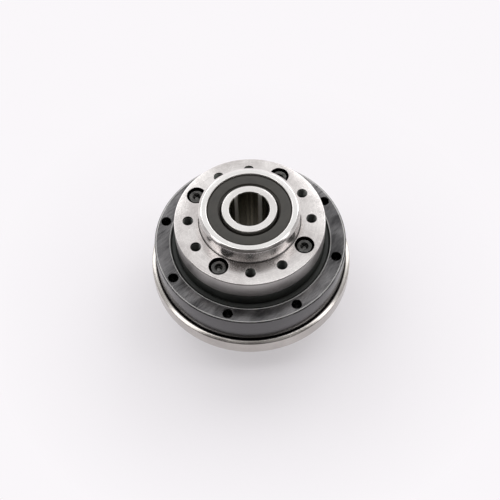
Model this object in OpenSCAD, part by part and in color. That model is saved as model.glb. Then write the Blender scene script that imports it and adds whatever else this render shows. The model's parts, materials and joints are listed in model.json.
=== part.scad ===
// Strain wave gear unit with a hollow input shaft, standing on the shaft's input end.
// The axis of rotation is Z. The input side is at the bottom and the output flange is on top.
// The flexspline is fixed, so the circular spline and the output flange turn with the shaft,
// one turn for every 51 turns of the shaft.

/* [Stack along the axis] */
// Height of the shaft stub that stands proud of the input boss
stub_h = 4.5; // [2:0.5:10]
// Height of the input housing's boss
input_boss_h = 9.5; // [9:0.5:14]
// Thickness of the input housing's lip
lip_h = 7; // [6:0.5:10]
// Height of the outer bearing ring above the lip
ring_h = 12; // [11:0.5:15]
// Height of the circular spline that shows under the output flange
spline_show_h = 4.5; // [3.5:0.5:6]
// Thickness of the output flange
flange_h = 8; // [8:0.5:12]
// Height of the output boss above the flange face
boss_h = 7; // [7:0.5:12]

/* [Diameters, from the gearing outwards] */
// Pitch diameter of the flexspline's teeth, which sets the size of the whole unit
gear_d = 35.5; // [33:0.5:40]
// From that pitch circle out to the circle of the output screws and holes
tooth_web = 4.25; // [4:0.05:4.4]
// From the circle of the output screws out to the circular spline's outside
spline_rim = 4.8; // [4.6:0.1:5.2]
// Step from the circular spline's outside out to the output flange's
flange_step = 0.2; // [0:0.05:1]
// Step from the circular spline's outside out to the circle of the crossed rollers
roller_step = 0.2; // [0.1:0.05:0.3]
// Width of the large output seal, across its ring
output_seal_w = 2; // [1.8:0.1:2.2]
// From the output seal's seat out to the circle of the mounting holes
mount_web = 3.2; // [3.1:0.1:3.6]
// From the circle of the mounting holes out to the outer bearing ring's outside
ring_rim = 3; // [2.8:0.1:4]
// Step from the outer bearing ring out to the input housing's lip
lip_step = 2; // [1.5:0.25:5]
// From the inner bearing ring's bore out to the circle of the output screws
inner_ring_web = 2.3; // [2.1:0.1:2.4]

/* [Diameters, from the wave generator inwards] */
// From the cam's outside in to the hollow shaft's
cam_wall = 2.55; // [2.45:0.05:2.65]
// Step from the shaft out to its shoulders between the bearings
shoulder_step = 1.5; // [1.1:0.1:1.7]
// Step from the shaft in to its stub
stub_step = 0.2; // [0.15:0.05:1]
// Wall of the hollow shaft
shaft_wall = 3; // [2.5:0.25:5]
// Wall of the output boss round its support bearing
boss_wall = 1.1; // [0.8:0.1:1.5]
// Wall of the input housing's boss round its support bearing
input_boss_wall = 4; // [3:0.25:9]

/* [Support bearings] */
// Height of each support bearing's section, from its bore to its outside
bearing_section = 6; // [5.8:0.1:6.1]
// Step that each support bearing's outer race rests against
bearing_step = 1.8; // [1.4:0.1:2.2]
// Width of each support bearing
bearing_w = 7; // [6.5:0.25:7.5]
// Diameter of the balls
ball_d = 3.5; // [3.2:0.05:3.6]
// Number of balls in each support bearing
ball_count = 12; // [9:1:13]
// Height of each race's shoulder beside the balls, measured from the pitch circle
race_gap = 1; // [0.9:0.05:1.2]

/* [Flexible bearing] */
// Diameter of the flexible bearing's balls
flex_ball_d = 2.778; // [2.6:0.02:2.8]
// Number of balls in the flexible bearing
flex_ball_count = 23; // [17:2:23]
// Width of the flexible bearing
flex_w = 6; // [5:0.25:6.5]
// Thickness of each flexible race at its thinnest, under the balls
flex_race_t = 0.7; // [0.6:0.05:0.8]
// Depth of the groove in each flexible race
flex_groove = 0.25; // [0.15:0.05:0.35]

/* [Gearing] */
// Number of teeth on the flexspline, an even number
flexspline_teeth = 100; // [98:2:104]
// Height of a flexspline tooth above its pitch circle, in modules
addendum_ratio = 0.7; // [0.6:0.02:0.72]
// Height of a circular spline tooth inside its pitch circle, in modules
inner_addendum_ratio = 0.56; // [0.42:0.02:0.66]
// Depth of both tooth spaces below the pitch circle, in modules
dedendum_ratio = 0.9; // [0.86:0.02:1]
// Width of a tooth at its tip, in modules
tip_ratio = 0.85; // [0.7:0.05:0.85]
// Width of a tooth at its root, in modules
root_ratio = 1.9; // [1.7:0.05:1.95]
// Length of the teeth along the axis
spline_h = 7; // [6.5:0.25:8]
// Wall of the flexspline under its teeth
rim_wall = 0.5; // [0.45:0.01:0.55]
// Wall of the flexspline's thin sleeve
sleeve_wall = 0.3; // [0.2:0.02:0.34]
// Thickness of the flexspline's diaphragm
diaphragm_t = 0.6; // [0.4:0.05:1]
// Thickness of the flexspline's bolted flange
flexspline_flange_t = 2; // [1.5:0.1:2.5]
// From the bore of that flange out to the circle of the mounting holes
flexspline_flange_web = 8; // [7:0.25:9]

/* [Crossed roller bearing] */
// Diameter of the rollers
roller_d = 3; // [2.8:0.05:3]
// Length of a roller
roller_l = 2.8; // [2.5:0.05:2.8]
// Number of rollers, which stand crosswise in turn
roller_count = 48; // [40:2:48]
// Gap between the two bearing rings
ring_gap = 0.6; // [0.4:0.05:0.8]
// Height of the roller circle above the outer ring's lower face
roller_up = 4.8; // [4.4:0.1:5.2]

/* [Seals and rings] */
// Height of each shaft seal's section, from the shaft to its seat
seal_section = 5; // [4.8:0.1:5.1]
// Height of each shaft seal
seal_h = 5; // [4:0.25:5]
// Depth of each shaft seal below the end of its boss
seal_recess = 0.5; // [0.1:0.1:0.5]
// Height of the large output seal
output_seal_h = 3; // [2.5:0.1:3.1]
// Thickness of the cord of each O-ring
o_ring_d = 0.8; // [0.6:0.05:0.9]
// Thickness of each retaining ring
circlip_t = 0.8; // [0.6:0.05:0.85]

/* [Fasteners] */
// Diameter of the mounting holes
mount_hole_d = 3.5; // [3:0.1:3.6]
// Number of mounting holes
mount_count = 8; // [4:4:8]
// Angle of the first mounting hole
mount_start = 15; // [12:1:18]
// Diameter of the tapped holes in the output flange
tap_d = 3.3; // [2.5:0.1:3.4]
// Depth of the counterbores in the output flange
counterbore_depth = 3.3; // [3.1:0.1:4.2]
// Diameter of the counterbores in the output flange
counterbore_d = 6.5; // [6:0.1:6.5]
// Depth to which the output screws reach into the inner bearing ring
output_grip = 6.3; // [4:0.1:8]
// Depth to which the housing screws reach into the outer bearing ring
housing_grip = 5; // [3:0.25:7]
// Diameter of the output screws' shanks
screw_d = 3; // [2.8:0.1:3]
// Diameter of the output screws' heads
head_d = 5.5; // [5:0.1:5.6]
// Diameter of the housing screws' shanks
housing_screw_d = 2.5; // [2:0.1:2.6]
// Diameter of the housing screws' heads
housing_head_d = 4.7; // [4.2:0.1:5]
// Height of the housing screws' heads
housing_head_h = 2; // [1.5:0.1:2.2]
// Diameter of the set screw holes in the shaft's stub
set_screw_d = 2.5; // [1.6:0.1:2.5]
// Angle of the first set screw hole
set_screw_start = 45; // [40:1:50]

/* [Edges and clearances] */
// Chamfer on the edges of the turned parts
edge = 0.4; // [0.2:0.05:0.5]
// Rounding of the lip's lower edge
lip_round = 1.2; // [0.6:0.1:1.6]
// Fillet at the foot of the output boss
boss_fillet = 1; // [0.5:0.1:1.2]
// Fillet between the input boss and the lip
input_fillet = 2; // [1:0.1:3]
// Height of the dark seam between the lip and the outer bearing ring
seam_h = 0.3; // [0.2:0.05:0.6]
// Depth of that seam, which is also the ring's step into the housing
seam_depth = 0.4; // [0.3:0.05:0.6]
// Radial gap in each assembled fit
fit_gap = 0.02; // [0.01:0.01:0.04]
// Gap between parts that turn against each other
run_gap = 0.06; // [0.05:0.01:0.08]
// Gap around a screw in its clearance hole
screw_gap = 0.2; // [0.1:0.05:0.25]

/* [Hidden] */

round_fn = 96;
small_fn = 32;
through = 1;

// Diameters outwards from the teeth
output_pcd = gear_d + 2 * tooth_web;
spline_d = output_pcd + 2 * spline_rim;
flange_d = spline_d + 2 * flange_step;
roller_pcd = spline_d + 2 * roller_step;
output_seal_od = spline_d + 2 * output_seal_w;
mount_pcd = output_seal_od + 2 * mount_web;
ring_d = mount_pcd + 2 * ring_rim;
lip_d = ring_d + 2 * lip_step;
inner_ring_id = output_pcd - 2 * inner_ring_web;
flexspline_flange_id = mount_pcd - 2 * flexspline_flange_web;

// The teeth, whose sizes are in step with their module
tooth_module = gear_d / flexspline_teeth;
flexspline_addendum = addendum_ratio * tooth_module;
circular_addendum = inner_addendum_ratio * tooth_module;
dedendum = dedendum_ratio * tooth_module;
tooth_tip_w = tip_ratio * tooth_module;
tooth_root_w = root_ratio * tooth_module;

// Heights of the faces along the axis
lip_z = stub_h + input_boss_h;
rim_z = lip_z + lip_h;
ring_engage = 0.5;
spigot_r = ring_d / 2 - seam_depth;
ring_z = rim_z - ring_engage;
recess_z = ring_z - flexspline_flange_t;
ring_top = rim_z + ring_h;
flange_z = ring_top + spline_show_h;
flange_top = flange_z + flange_h;
boss_top = flange_top + boss_h;
spline_z = flange_z - spline_h;
mesh_z = spline_z + spline_h / 2;

// The wave generator: the flexspline's bore is the flexible bearing's outside
flexspline_r = tooth_module * flexspline_teeth / 2;
circular_teeth = flexspline_teeth + 2;
circular_r = tooth_module * circular_teeth / 2;
wave = circular_r - flexspline_r;
rim_r = flexspline_r - dedendum - rim_wall;
flex_outer_r = rim_r - run_gap;
flex_pitch_r = flex_outer_r - flex_race_t - run_gap - flex_ball_d / 2;
flex_inner_r = flex_pitch_r - run_gap - flex_ball_d / 2 - flex_race_t;
cam_r = flex_inner_r - fit_gap;
cam_z = mesh_z - flex_w / 2;
neutral_r = rim_r + rim_wall / 2;
wave_steps = 100;

// Diameters inwards from the cam. The shaft has a round size, to the nearest half millimetre.
shaft_d = round(4 * (cam_r - cam_wall)) / 2;
stub_d = shaft_d - 2 * stub_step;
bore_d = shaft_d - 2 * shaft_wall;
shoulder_d = shaft_d + 2 * shoulder_step;
bearing_od = shaft_d + 2 * bearing_section;
seal_od = shaft_d + 2 * seal_section;
boss_d = bearing_od + 2 * boss_wall;
input_boss_d = bearing_od + 2 * input_boss_wall;

// Places of the support bearings, their retaining rings and the shaft seals
bearing_relief = 0.5;
input_bearing_z = recess_z - bearing_relief - bearing_w;
output_recess = 1.5;
output_bearing_z = flange_z + output_recess;
output_bearing_top = output_bearing_z + bearing_w;
input_seal_z = stub_h + seal_recess;
output_seal_z = boss_top - seal_recess - seal_h;
seat_bore_r = bearing_od / 2 - bearing_step;
clip_play = 0.05;
circlip_root_r = shaft_d / 2 - 0.5;
pitch_r = (shaft_d + bearing_od) / 4;
bearing_r = bearing_od / 2;

// The crossed roller bearing
roller_z = ring_z + roller_up;
roller_r = roller_pcd / 2;
inner_ring_r = roller_r - ring_gap / 2;
outer_ring_bore_r = roller_r + ring_gap / 2;
ring_clear = 0.8;
inner_ring_z = ring_z + ring_clear;
output_seal_seat_z = ring_top - output_seal_h - edge;
plug_d = roller_d + 1.2;
plug_angle = mount_start + 1.5 * 360 / mount_count;
plug_pin_d = 1.6;

// Screws
mount_r = mount_pcd / 2;
output_r = output_pcd / 2;
screw_r = screw_d / 2;
clear_r = screw_r + screw_gap;
output_screw_angles = [for (side = [0:3]) side * 90 + 45];
tap_angles = [for (side = [0:3]) for (turn = [-15, 15]) side * 90 + turn];
housing_screw_angles = [for (side = [0:3]) mount_start + 180 / mount_count + 90 * side];
housing_clear_r = housing_screw_d / 2 + screw_gap;
head_drop = 0.3;

// Circles of the face O-rings
housing_o_ring_r = (flexspline_flange_id / 2 + mount_r - mount_hole_d / 2) / 2;
ring_o_ring_r = (outer_ring_bore_r + mount_r - mount_hole_d / 2) / 2;
flange_o_ring_r = (output_r + clear_r + spline_d / 2) / 2;

// ---- Outlines ----

// Points of an arc about a centre, from one angle to another
function arc(cx, cy, r, from, to, steps = 6) =
    [for (i = [0:steps]) [cx + r * cos(from + (to - from) * i / steps),
                          cy + r * sin(from + (to - from) * i / steps)]];

// A point that the wave generator has pushed out of round. The share is how much of the
// full wave it gets: the flexspline's closed end gets none.
function waved(angle, r, share = 1) =
    let (w = wave * share,
         slip = (-w / 2 / neutral_r + 2 * w * (r - neutral_r) / neutral_r / neutral_r)
             * sin(2 * angle) * 180 / PI,
         out = r + w * cos(2 * angle))
    [out * cos(angle + slip), out * sin(angle + slip)];

// The oval that a circle of radius r becomes on the wave generator
function oval(r) = [for (i = [0:wave_steps - 1]) waved(i * 360 / wave_steps, r)];

// The half angle, in degrees, that a width covers at a radius
function half_angle(width, r) = width / 2 / r * 180 / PI;

// The outline of the flexspline's teeth on the wave generator
function flexspline_outline() =
    let (root = flexspline_r - dedendum, tip = flexspline_r + flexspline_addendum,
         root_a = half_angle(tooth_root_w, root), tip_a = half_angle(tooth_tip_w, tip))
    [for (i = [0:flexspline_teeth - 1]) let (a = i * 360 / flexspline_teeth)
        each [waved(a - root_a, root), waved(a - tip_a, tip),
              waved(a + tip_a, tip), waved(a + root_a, root)]];

// The outline of the circular spline's teeth, with a space at angle 0
function circular_outline() =
    let (root = circular_r + dedendum, tip = circular_r - circular_addendum,
         root_a = half_angle(tooth_root_w, root), tip_a = half_angle(tooth_tip_w, tip))
    [for (i = [0:circular_teeth - 1]) let (a = (i + 0.5) * 360 / circular_teeth)
        each [polar(root, a - root_a), polar(tip, a - tip_a),
              polar(tip, a + tip_a), polar(root, a + root_a)]];

function polar(r, angle) = [r * cos(angle), r * sin(angle)];

// ---- Shared shapes ----

module turned(points) {
    rotate_extrude($fn = round_fn) polygon(points);
}

module tube(r_out, r_in, h) {
    difference() {
        cylinder(r = r_out, h = h, $fn = round_fn);
        translate([0, 0, -through]) cylinder(r = r_in, h = h + 2 * through, $fn = round_fn);
    }
}

// Puts its children on a circle at each of a list of angles
module at_angles(r, angles) {
    for (a = angles) rotate([0, 0, a]) translate([r, 0, 0]) children();
}

function even_angles(count, start = 0) = [for (i = [0:count - 1]) start + i * 360 / count];

// A closed ring swept along the wave generator's oval. Each point of the section is
// its radius, its height and its share of the wave.
module waved_ring(section) {
    n = len(section);
    points = [for (i = [0:wave_steps - 1]) for (p = section)
        let (xy = waved(i * 360 / wave_steps, p[0], p[2])) [xy[0], xy[1], p[1]]];
    faces = [for (i = [0:wave_steps - 1]) for (j = [0:n - 1])
        let (a = i * n, b = (i + 1) % wave_steps * n, k = (j + 1) % n)
        [a + j, a + k, b + k, b + j]];
    polyhedron(points = points, faces = faces, convexity = 10);
}

// A cap screw with its head's top at z = 0 and its shank pointing down. Its socket's
// width across the flats is in step with the shank.
module cap_screw(head_r, head_h, shank_r, length) {
    socket_r = shank_r * 0.83 / cos(30);
    difference() {
        union() {
            translate([0, 0, -head_h]) cylinder(r = head_r, h = head_h, $fn = small_fn);
            translate([0, 0, -head_h - length])
                cylinder(r = shank_r, h = length + head_h / 2, $fn = small_fn);
        }
        translate([0, 0, -head_h * 0.55])
            cylinder(r = socket_r, h = head_h, $fn = 6);
    }
}

// ---- Input side and outer ring ----

module input_housing() {
    boss_r = input_boss_d / 2;
    lip_r = lip_d / 2;
    seat_r = bearing_r + fit_gap;
    seal_r = seal_od / 2 + fit_gap;
    recess_r = spigot_r + fit_gap;
    relief_r = flexspline_flange_id / 2;
    head_depth = housing_head_h + head_drop;
    color([0.80, 0.79, 0.77]) difference() {
        turned(concat(
            [[seal_r + edge, stub_h], [boss_r - edge, stub_h], [boss_r, stub_h + edge]],
            arc(boss_r + input_fillet, lip_z - input_fillet, input_fillet, 180, 90),
            arc(lip_r - lip_round, lip_z + lip_round, lip_round, -90, 0),
            [[lip_r, rim_z - edge], [lip_r - edge, rim_z], [recess_r + edge / 2, rim_z],
             [recess_r, rim_z - edge / 2], [recess_r, recess_z], [relief_r, recess_z],
             [relief_r, recess_z - bearing_relief], [seat_r, recess_z - bearing_relief],
             [seat_r, input_bearing_z], [seat_bore_r, input_bearing_z],
             [seat_bore_r, input_seal_z + seal_h], [seal_r, input_seal_z + seal_h],
             [seal_r, stub_h + edge]]));
        translate([0, 0, recess_z - o_ring_d]) o_ring_groove(housing_o_ring_r);
        at_angles(mount_r, even_angles(mount_count, mount_start))
            translate([0, 0, lip_z - through])
                cylinder(d = mount_hole_d, h = lip_h + 2 * through, $fn = small_fn);
        at_angles(mount_r, housing_screw_angles) translate([0, 0, lip_z - through]) {
            cylinder(r = housing_clear_r, h = lip_h + 2 * through, $fn = small_fn);
            cylinder(r = housing_head_d / 2 + screw_gap, h = through + head_depth,
                $fn = small_fn);
        }
    }
}

// The room for an O-ring, as deep as its cord and open upwards
module o_ring_groove(r) {
    side_play = 0.15;
    half_width = o_ring_d / 2 + side_play;
    tube(r + half_width, r - half_width, o_ring_d + through);
}

// The square channel that the rollers run in, turned on its corner
module roller_channel() {
    side = roller_d + 2 * run_gap;
    rotate_extrude($fn = round_fn) translate([roller_r, roller_z]) rotate(45)
        square(side, center = true);
}

module outer_bearing_ring() {
    r = ring_d / 2;
    seat_r = output_seal_od / 2;
    color([0.27, 0.27, 0.28]) difference() {
        turned([[outer_ring_bore_r, ring_z], [spigot_r, ring_z], [spigot_r, rim_z + seam_h],
            [r, rim_z + seam_h], [r, ring_top - edge], [r - edge, ring_top], [seat_r + edge, ring_top],
            [seat_r, ring_top - edge], [seat_r, output_seal_seat_z],
            [outer_ring_bore_r, output_seal_seat_z]]);
        roller_channel();
        translate([0, 0, ring_z + o_ring_d]) mirror([0, 0, 1])
            o_ring_groove(ring_o_ring_r);
        at_angles(mount_r, even_angles(mount_count, mount_start))
            translate([0, 0, ring_z - through])
                cylinder(d = mount_hole_d, h = ring_top - ring_z + 2 * through,
                    $fn = small_fn);
        at_angles(mount_r, housing_screw_angles) translate([0, 0, ring_z - through])
            cylinder(r = housing_screw_d / 2 + fit_gap, h = housing_grip + edge + through,
                $fn = small_fn);
        plug_bore(plug_d / 2 + fit_gap);
        plug_pin_bore(plug_pin_d / 2 + fit_gap);
    }
}

// The radial hole through which the rollers are loaded
module plug_bore(r) {
    rotate([0, 0, plug_angle]) translate([roller_r, 0, roller_z]) rotate([0, 90, 0])
        cylinder(r = r, h = ring_d / 2 - roller_r + through, $fn = small_fn);
}

module plug_pin_bore(r) {
    rotate([0, 0, plug_angle])
        translate([(ring_d / 2 + outer_ring_bore_r + roller_d / 2) / 2, 0, ring_z - through])
            cylinder(r = r, h = roller_up + plug_d / 2 + 2 * through, $fn = small_fn);
}

module loading_plug() {
    color([0.35, 0.35, 0.36]) difference() {
        intersection() {
            plug_bore(plug_d / 2);
            translate([0, 0, ring_z]) tube(ring_d / 2, outer_ring_bore_r, ring_h);
        }
        roller_channel();
        plug_pin_bore(plug_pin_d / 2 + fit_gap);
    }
}

module plug_pin() {
    color([0.6, 0.6, 0.6]) intersection() {
        plug_pin_bore(plug_pin_d / 2);
        translate([0, 0, ring_z]) cylinder(d = ring_d, h = ring_h, $fn = round_fn);
    }
}

module housing_screws() {
    head_top = lip_z + head_drop;
    length = ring_z + housing_grip - head_top - housing_head_h;
    color([0.2, 0.2, 0.2]) at_angles(mount_r, housing_screw_angles)
        translate([0, 0, head_top]) mirror([0, 0, 1])
            cap_screw(housing_head_d / 2, housing_head_h, housing_screw_d / 2, length);
}

module o_ring(r, z) {
    squeeze = 0.02;
    color([0.08, 0.08, 0.08]) rotate_extrude($fn = round_fn) translate([r, z])
        circle(r = o_ring_d / 2 - squeeze, $fn = small_fn);
}

module housing_o_ring() {
    o_ring(housing_o_ring_r, recess_z - o_ring_d / 2);
}

module ring_o_ring() {
    o_ring(ring_o_ring_r, ring_z + o_ring_d / 2);
}

module flange_o_ring() {
    o_ring(flange_o_ring_r, flange_z - o_ring_d / 2);
}

// ---- Strain wave gearing ----

module flexspline() {
    base_z = recess_z + flexspline_flange_t / 2;
    sleeve_in = rim_r + (rim_wall - sleeve_wall) / 2;
    sink = 1;
    sleeve_top = spline_z + sink;
    rim_top = flange_z + edge;
    color([0.62, 0.62, 0.64]) difference() {
        union() {
            // The toothed rim
            translate([0, 0, spline_z]) linear_extrude(height = rim_top - spline_z)
                difference() {
                    polygon(flexspline_outline());
                    polygon(oval(rim_r));
                }
            // The thin sleeve, round at its closed end and oval in the teeth
            waved_ring([[sleeve_in, base_z, 0], [sleeve_in + sleeve_wall, base_z, 0],
                [sleeve_in + sleeve_wall, sleeve_top, 1], [sleeve_in, sleeve_top, 1]]);
            // The diaphragm and the bolted flange
            translate([0, 0, base_z - diaphragm_t / 2])
                tube(flexspline_flange_id / 2 + sink, sleeve_in - sleeve_wall / 2, diaphragm_t);
            translate([0, 0, recess_z])
                tube(spigot_r, flexspline_flange_id / 2, flexspline_flange_t);
        }
        at_angles(mount_r, even_angles(mount_count, mount_start))
            translate([0, 0, recess_z - through])
                cylinder(d = mount_hole_d, h = flexspline_flange_t + 2 * through,
                    $fn = small_fn);
        at_angles(mount_r, housing_screw_angles) translate([0, 0, recess_z - through])
            cylinder(r = housing_clear_r, h = flexspline_flange_t + 2 * through,
                $fn = small_fn);
    }
}

module circular_spline() {
    r = spline_d / 2;
    blank_r = circular_r - 3 * tooth_module;
    color([0.13, 0.13, 0.13]) difference() {
        turned([[blank_r, spline_z], [r - edge, spline_z], [r, spline_z + edge],
            [r, flange_z], [blank_r, flange_z]]);
        translate([0, 0, spline_z - through])
            linear_extrude(height = spline_h + 2 * through) polygon(circular_outline());
        translate([0, 0, flange_z - o_ring_d]) o_ring_groove(flange_o_ring_r);
        at_angles(output_r, output_screw_angles) translate([0, 0, spline_z - through])
            cylinder(r = clear_r, h = spline_h + 2 * through, $fn = small_fn);
    }
}

// ---- Crossed roller bearing ----

module inner_bearing_ring() {
    color([0.55, 0.55, 0.57]) difference() {
        translate([0, 0, inner_ring_z])
            tube(inner_ring_r, inner_ring_id / 2, spline_z - inner_ring_z);
        roller_channel();
        at_angles(output_r, output_screw_angles)
            translate([0, 0, spline_z - output_grip - edge])
                cylinder(r = screw_r + fit_gap, h = output_grip + edge + through,
                    $fn = small_fn);
    }
}

// A roller, or the room for one, leaning in or out in turn
module roller(i, r, length) {
    rotate([0, 0, i * 360 / roller_count]) translate([roller_r, 0, roller_z])
        rotate([0, i % 2 == 0 ? 45 : -45, 0])
            cylinder(r = r, h = length, center = true, $fn = small_fn);
}

module crossed_rollers() {
    color([0.75, 0.75, 0.77]) for (i = [0:roller_count - 1])
        roller(i, roller_d / 2, roller_l);
}

module roller_spacers() {
    r = roller_l / 2 - 0.1;
    room = roller_d / 2 + run_gap;
    color([0.85, 0.80, 0.62]) for (i = [0:roller_count - 1]) difference() {
        rotate([0, 0, (i + 0.5) * 360 / roller_count]) translate([roller_r, 0, roller_z])
            rotate([90, 0, 0]) cylinder(r = r, h = roller_d / 2, center = true,
                $fn = small_fn);
        roller(i, room, 2 * roller_l);
        roller(i + 1, room, 2 * roller_l);
    }
}

// ---- Output side ----

module output_flange() {
    r = flange_d / 2;
    boss_r = boss_d / 2;
    seat_r = bearing_r + fit_gap;
    seal_r = seal_od / 2 + fit_gap;
    relief = 1.2;
    recess_r = circular_r + relief;
    land = 0.25;
    tap_r = tap_d / 2;
    color([0.84, 0.82, 0.81]) difference() {
        turned(concat(
            [[recess_r, flange_z], [r - edge, flange_z], [r, flange_z + edge],
             [r, flange_top - edge], [r - edge, flange_top]],
            arc(boss_r + boss_fillet, flange_top + boss_fillet, boss_fillet, 270, 180),
            [[boss_r, boss_top - land], [boss_r - land, boss_top],
             [seal_r + land, boss_top], [seal_r, boss_top - land],
             [seal_r, output_seal_z], [seat_bore_r, output_seal_z],
             [seat_bore_r, output_bearing_top], [seat_r, output_bearing_top],
             [seat_r, output_bearing_z], [recess_r, output_bearing_z]]));
        at_angles(output_r, output_screw_angles) translate([0, 0, flange_z - through]) {
            cylinder(r = clear_r, h = flange_h + 2 * through, $fn = small_fn);
            translate([0, 0, through + flange_h - counterbore_depth])
                cylinder(d = counterbore_d, h = counterbore_depth + through,
                    $fn = small_fn);
        }
        at_angles(output_r, tap_angles) translate([0, 0, flange_z - through]) {
            cylinder(r = tap_r, h = flange_h + 2 * through, $fn = small_fn);
            translate([0, 0, through + flange_h - land])
                cylinder(r1 = tap_r, r2 = tap_r + land + through, h = land + through,
                    $fn = small_fn);
        }
    }
}

module output_screws() {
    head_h = counterbore_depth - head_drop;
    length = flange_h - counterbore_depth + spline_h + output_grip;
    color([0.24, 0.24, 0.25]) at_angles(output_r, output_screw_angles)
        translate([0, 0, flange_top - head_drop])
            cap_screw(head_d / 2, head_h, screw_r, length);
}

module output_seal() {
    seat = output_seal_od / 2 - fit_gap;
    run = spline_d / 2 + run_gap;
    z = output_seal_seat_z;
    top = z + output_seal_h;
    wall = 0.6;
    color([0.10, 0.10, 0.10]) turned([[seat, z], [seat, top], [run + wall, top],
        [run + wall / 2, top - wall / 2], [run + wall / 2, z + wall * 3],
        [run, z + wall * 2], [run + wall, z + wall / 2], [seat - wall, z + wall / 2],
        [seat - wall, z]]);
}

// ---- Wave generator ----

module hollow_shaft() {
    r = shaft_d / 2;
    shoulder_r = shoulder_d / 2;
    end_edge = 0.25;
    cam_rim_t = 0.8;
    cam_rim_r = cam_r + 0.3;
    stub_r = stub_d / 2;
    color([0.78, 0.77, 0.76]) difference() {
        union() {
            turned([[bore_d / 2, 0], [stub_r - end_edge, 0], [stub_r, end_edge],
                [stub_r, stub_h], [r, stub_h], [r, recess_z - bearing_relief],
                [shoulder_r, recess_z - bearing_relief],
                [shoulder_r, cam_z - cam_rim_t], [cam_rim_r, cam_z - cam_rim_t],
                [cam_rim_r, cam_z], [shoulder_r, cam_z], [shoulder_r, output_bearing_z],
                [r, output_bearing_z], [r, boss_top - end_edge],
                [r - end_edge, boss_top], [bore_d / 2, boss_top]]);
            // The elliptical cam
            translate([0, 0, cam_z]) linear_extrude(height = flex_w) difference() {
                polygon(oval(cam_r));
                circle(r = shoulder_r - 1, $fn = round_fn);
            }
        }
        for (z = [0, boss_top])
            translate([0, 0, z]) rotate([z > 0 ? 180 : 0, 0, 0])
                translate([0, 0, -through])
                    cylinder(r1 = bore_d / 2 + end_edge + through, r2 = bore_d / 2,
                        h = end_edge + through, $fn = round_fn);
        translate([0, 0, input_bearing_z - circlip_t - 2 * clip_play]) circlip_groove();
        translate([0, 0, output_bearing_top]) circlip_groove();
        // Tapped holes for the set screws of the motor coupling
        for (a = even_angles(3, set_screw_start)) rotate([0, 0, a]) translate([0, 0, stub_h / 2])
            rotate([0, 90, 0]) cylinder(d = set_screw_d, h = shaft_d, $fn = small_fn);
    }
}

module circlip_groove() {
    tube(shaft_d / 2 + through, circlip_root_r, circlip_t + 2 * clip_play);
}

// A retaining ring for a shaft: a ring that is open between its two eyes
module circlip(z) {
    ring_r = shaft_d / 2 + 1.3;
    eye_r = 1.1;
    eye_at = ring_r + 0.6;
    eye_angle = 9;
    color([0.3, 0.3, 0.31]) translate([0, 0, z]) difference() {
        union() {
            tube(ring_r, circlip_root_r + fit_gap, circlip_t);
            at_angles(eye_at, [-eye_angle, eye_angle])
                cylinder(r = eye_r, h = circlip_t, $fn = small_fn);
        }
        translate([shaft_d / 4, -eye_r / 2, -through])
            cube([shaft_d, eye_r, circlip_t + 2 * through]);
        translate([0, 0, -through])
            cylinder(r = circlip_root_r + fit_gap, h = circlip_t + 2 * through,
                $fn = round_fn);
        at_angles(eye_at, [-eye_angle, eye_angle]) translate([0, 0, -through])
            cylinder(r = eye_r / 2, h = circlip_t + 2 * through, $fn = small_fn);
    }
}

module output_circlip() {
    circlip(output_bearing_top + clip_play);
}

module input_circlip() {
    circlip(input_bearing_z - circlip_t - clip_play);
}

// The groove's points for the flexible bearing: side is -1 for the inner race, 1 for the outer
function flex_groove_points(side) =
    let (r = flex_ball_d / 2 + run_gap, reach = acos((r - flex_groove) / r),
         centre = side > 0 ? 0 : 180)
    [for (a = [-2:2]) let (t = centre + side * a * reach / 2)
        [flex_pitch_r + r * cos(t), mesh_z + r * sin(t), 1]];

module flex_bearing_inner_race() {
    shoulder = flex_inner_r + flex_race_t + flex_groove;
    low = mesh_z - flex_w / 2;
    high = mesh_z + flex_w / 2;
    color([0.7, 0.7, 0.72]) waved_ring(concat(
        [[flex_inner_r, low, 1], [shoulder, low, 1]], flex_groove_points(-1),
        [[shoulder, high, 1], [flex_inner_r, high, 1]]));
}

module flex_bearing_outer_race() {
    shoulder = flex_outer_r - flex_race_t - flex_groove;
    low = mesh_z - flex_w / 2;
    high = mesh_z + flex_w / 2;
    points = flex_groove_points(1);
    color([0.7, 0.7, 0.72]) waved_ring(concat(
        [[shoulder, low, 1], [flex_outer_r, low, 1], [flex_outer_r, high, 1],
         [shoulder, high, 1]], [for (i = [4:-1:0]) points[i]]));
}

function flex_ball_angle(i) = (i + 0.5) * 360 / flex_ball_count;

module flex_bearing_balls() {
    color([0.8, 0.8, 0.82]) for (i = [0:flex_ball_count - 1])
        let (xy = waved(flex_ball_angle(i), flex_pitch_r))
            translate([xy[0], xy[1], mesh_z]) sphere(d = flex_ball_d, $fn = small_fn);
}

module flex_bearing_cage() {
    thickness = 1;
    height = flex_w - 1.4;
    color([0.75, 0.68, 0.45]) difference() {
        translate([0, 0, mesh_z - height / 2]) linear_extrude(height = height)
            difference() {
                polygon(oval(flex_pitch_r + thickness / 2));
                polygon(oval(flex_pitch_r - thickness / 2));
            }
        for (i = [0:flex_ball_count - 1])
            let (xy = waved(flex_ball_angle(i), flex_pitch_r))
                translate([xy[0], xy[1], mesh_z]) rotate([0, 0, atan2(xy[1], xy[0])])
                    rotate([0, 90, 0])
                        cylinder(r = flex_ball_d / 2 + run_gap, h = 4 * thickness,
                            center = true, $fn = small_fn);
    }
}

// ---- Support bearings ----

module ball_track(z) {
    rotate_extrude($fn = round_fn) translate([pitch_r, z + bearing_w / 2])
        circle(r = ball_d / 2 + run_gap, $fn = small_fn);
}

module inner_race(z) {
    color([0.72, 0.72, 0.74]) difference() {
        translate([0, 0, z])
            tube(pitch_r - race_gap, shaft_d / 2 + fit_gap, bearing_w);
        ball_track(z);
    }
}

module outer_race(z) {
    color([0.72, 0.72, 0.74]) difference() {
        translate([0, 0, z]) tube(bearing_r, pitch_r + race_gap, bearing_w);
        ball_track(z);
    }
}

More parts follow.
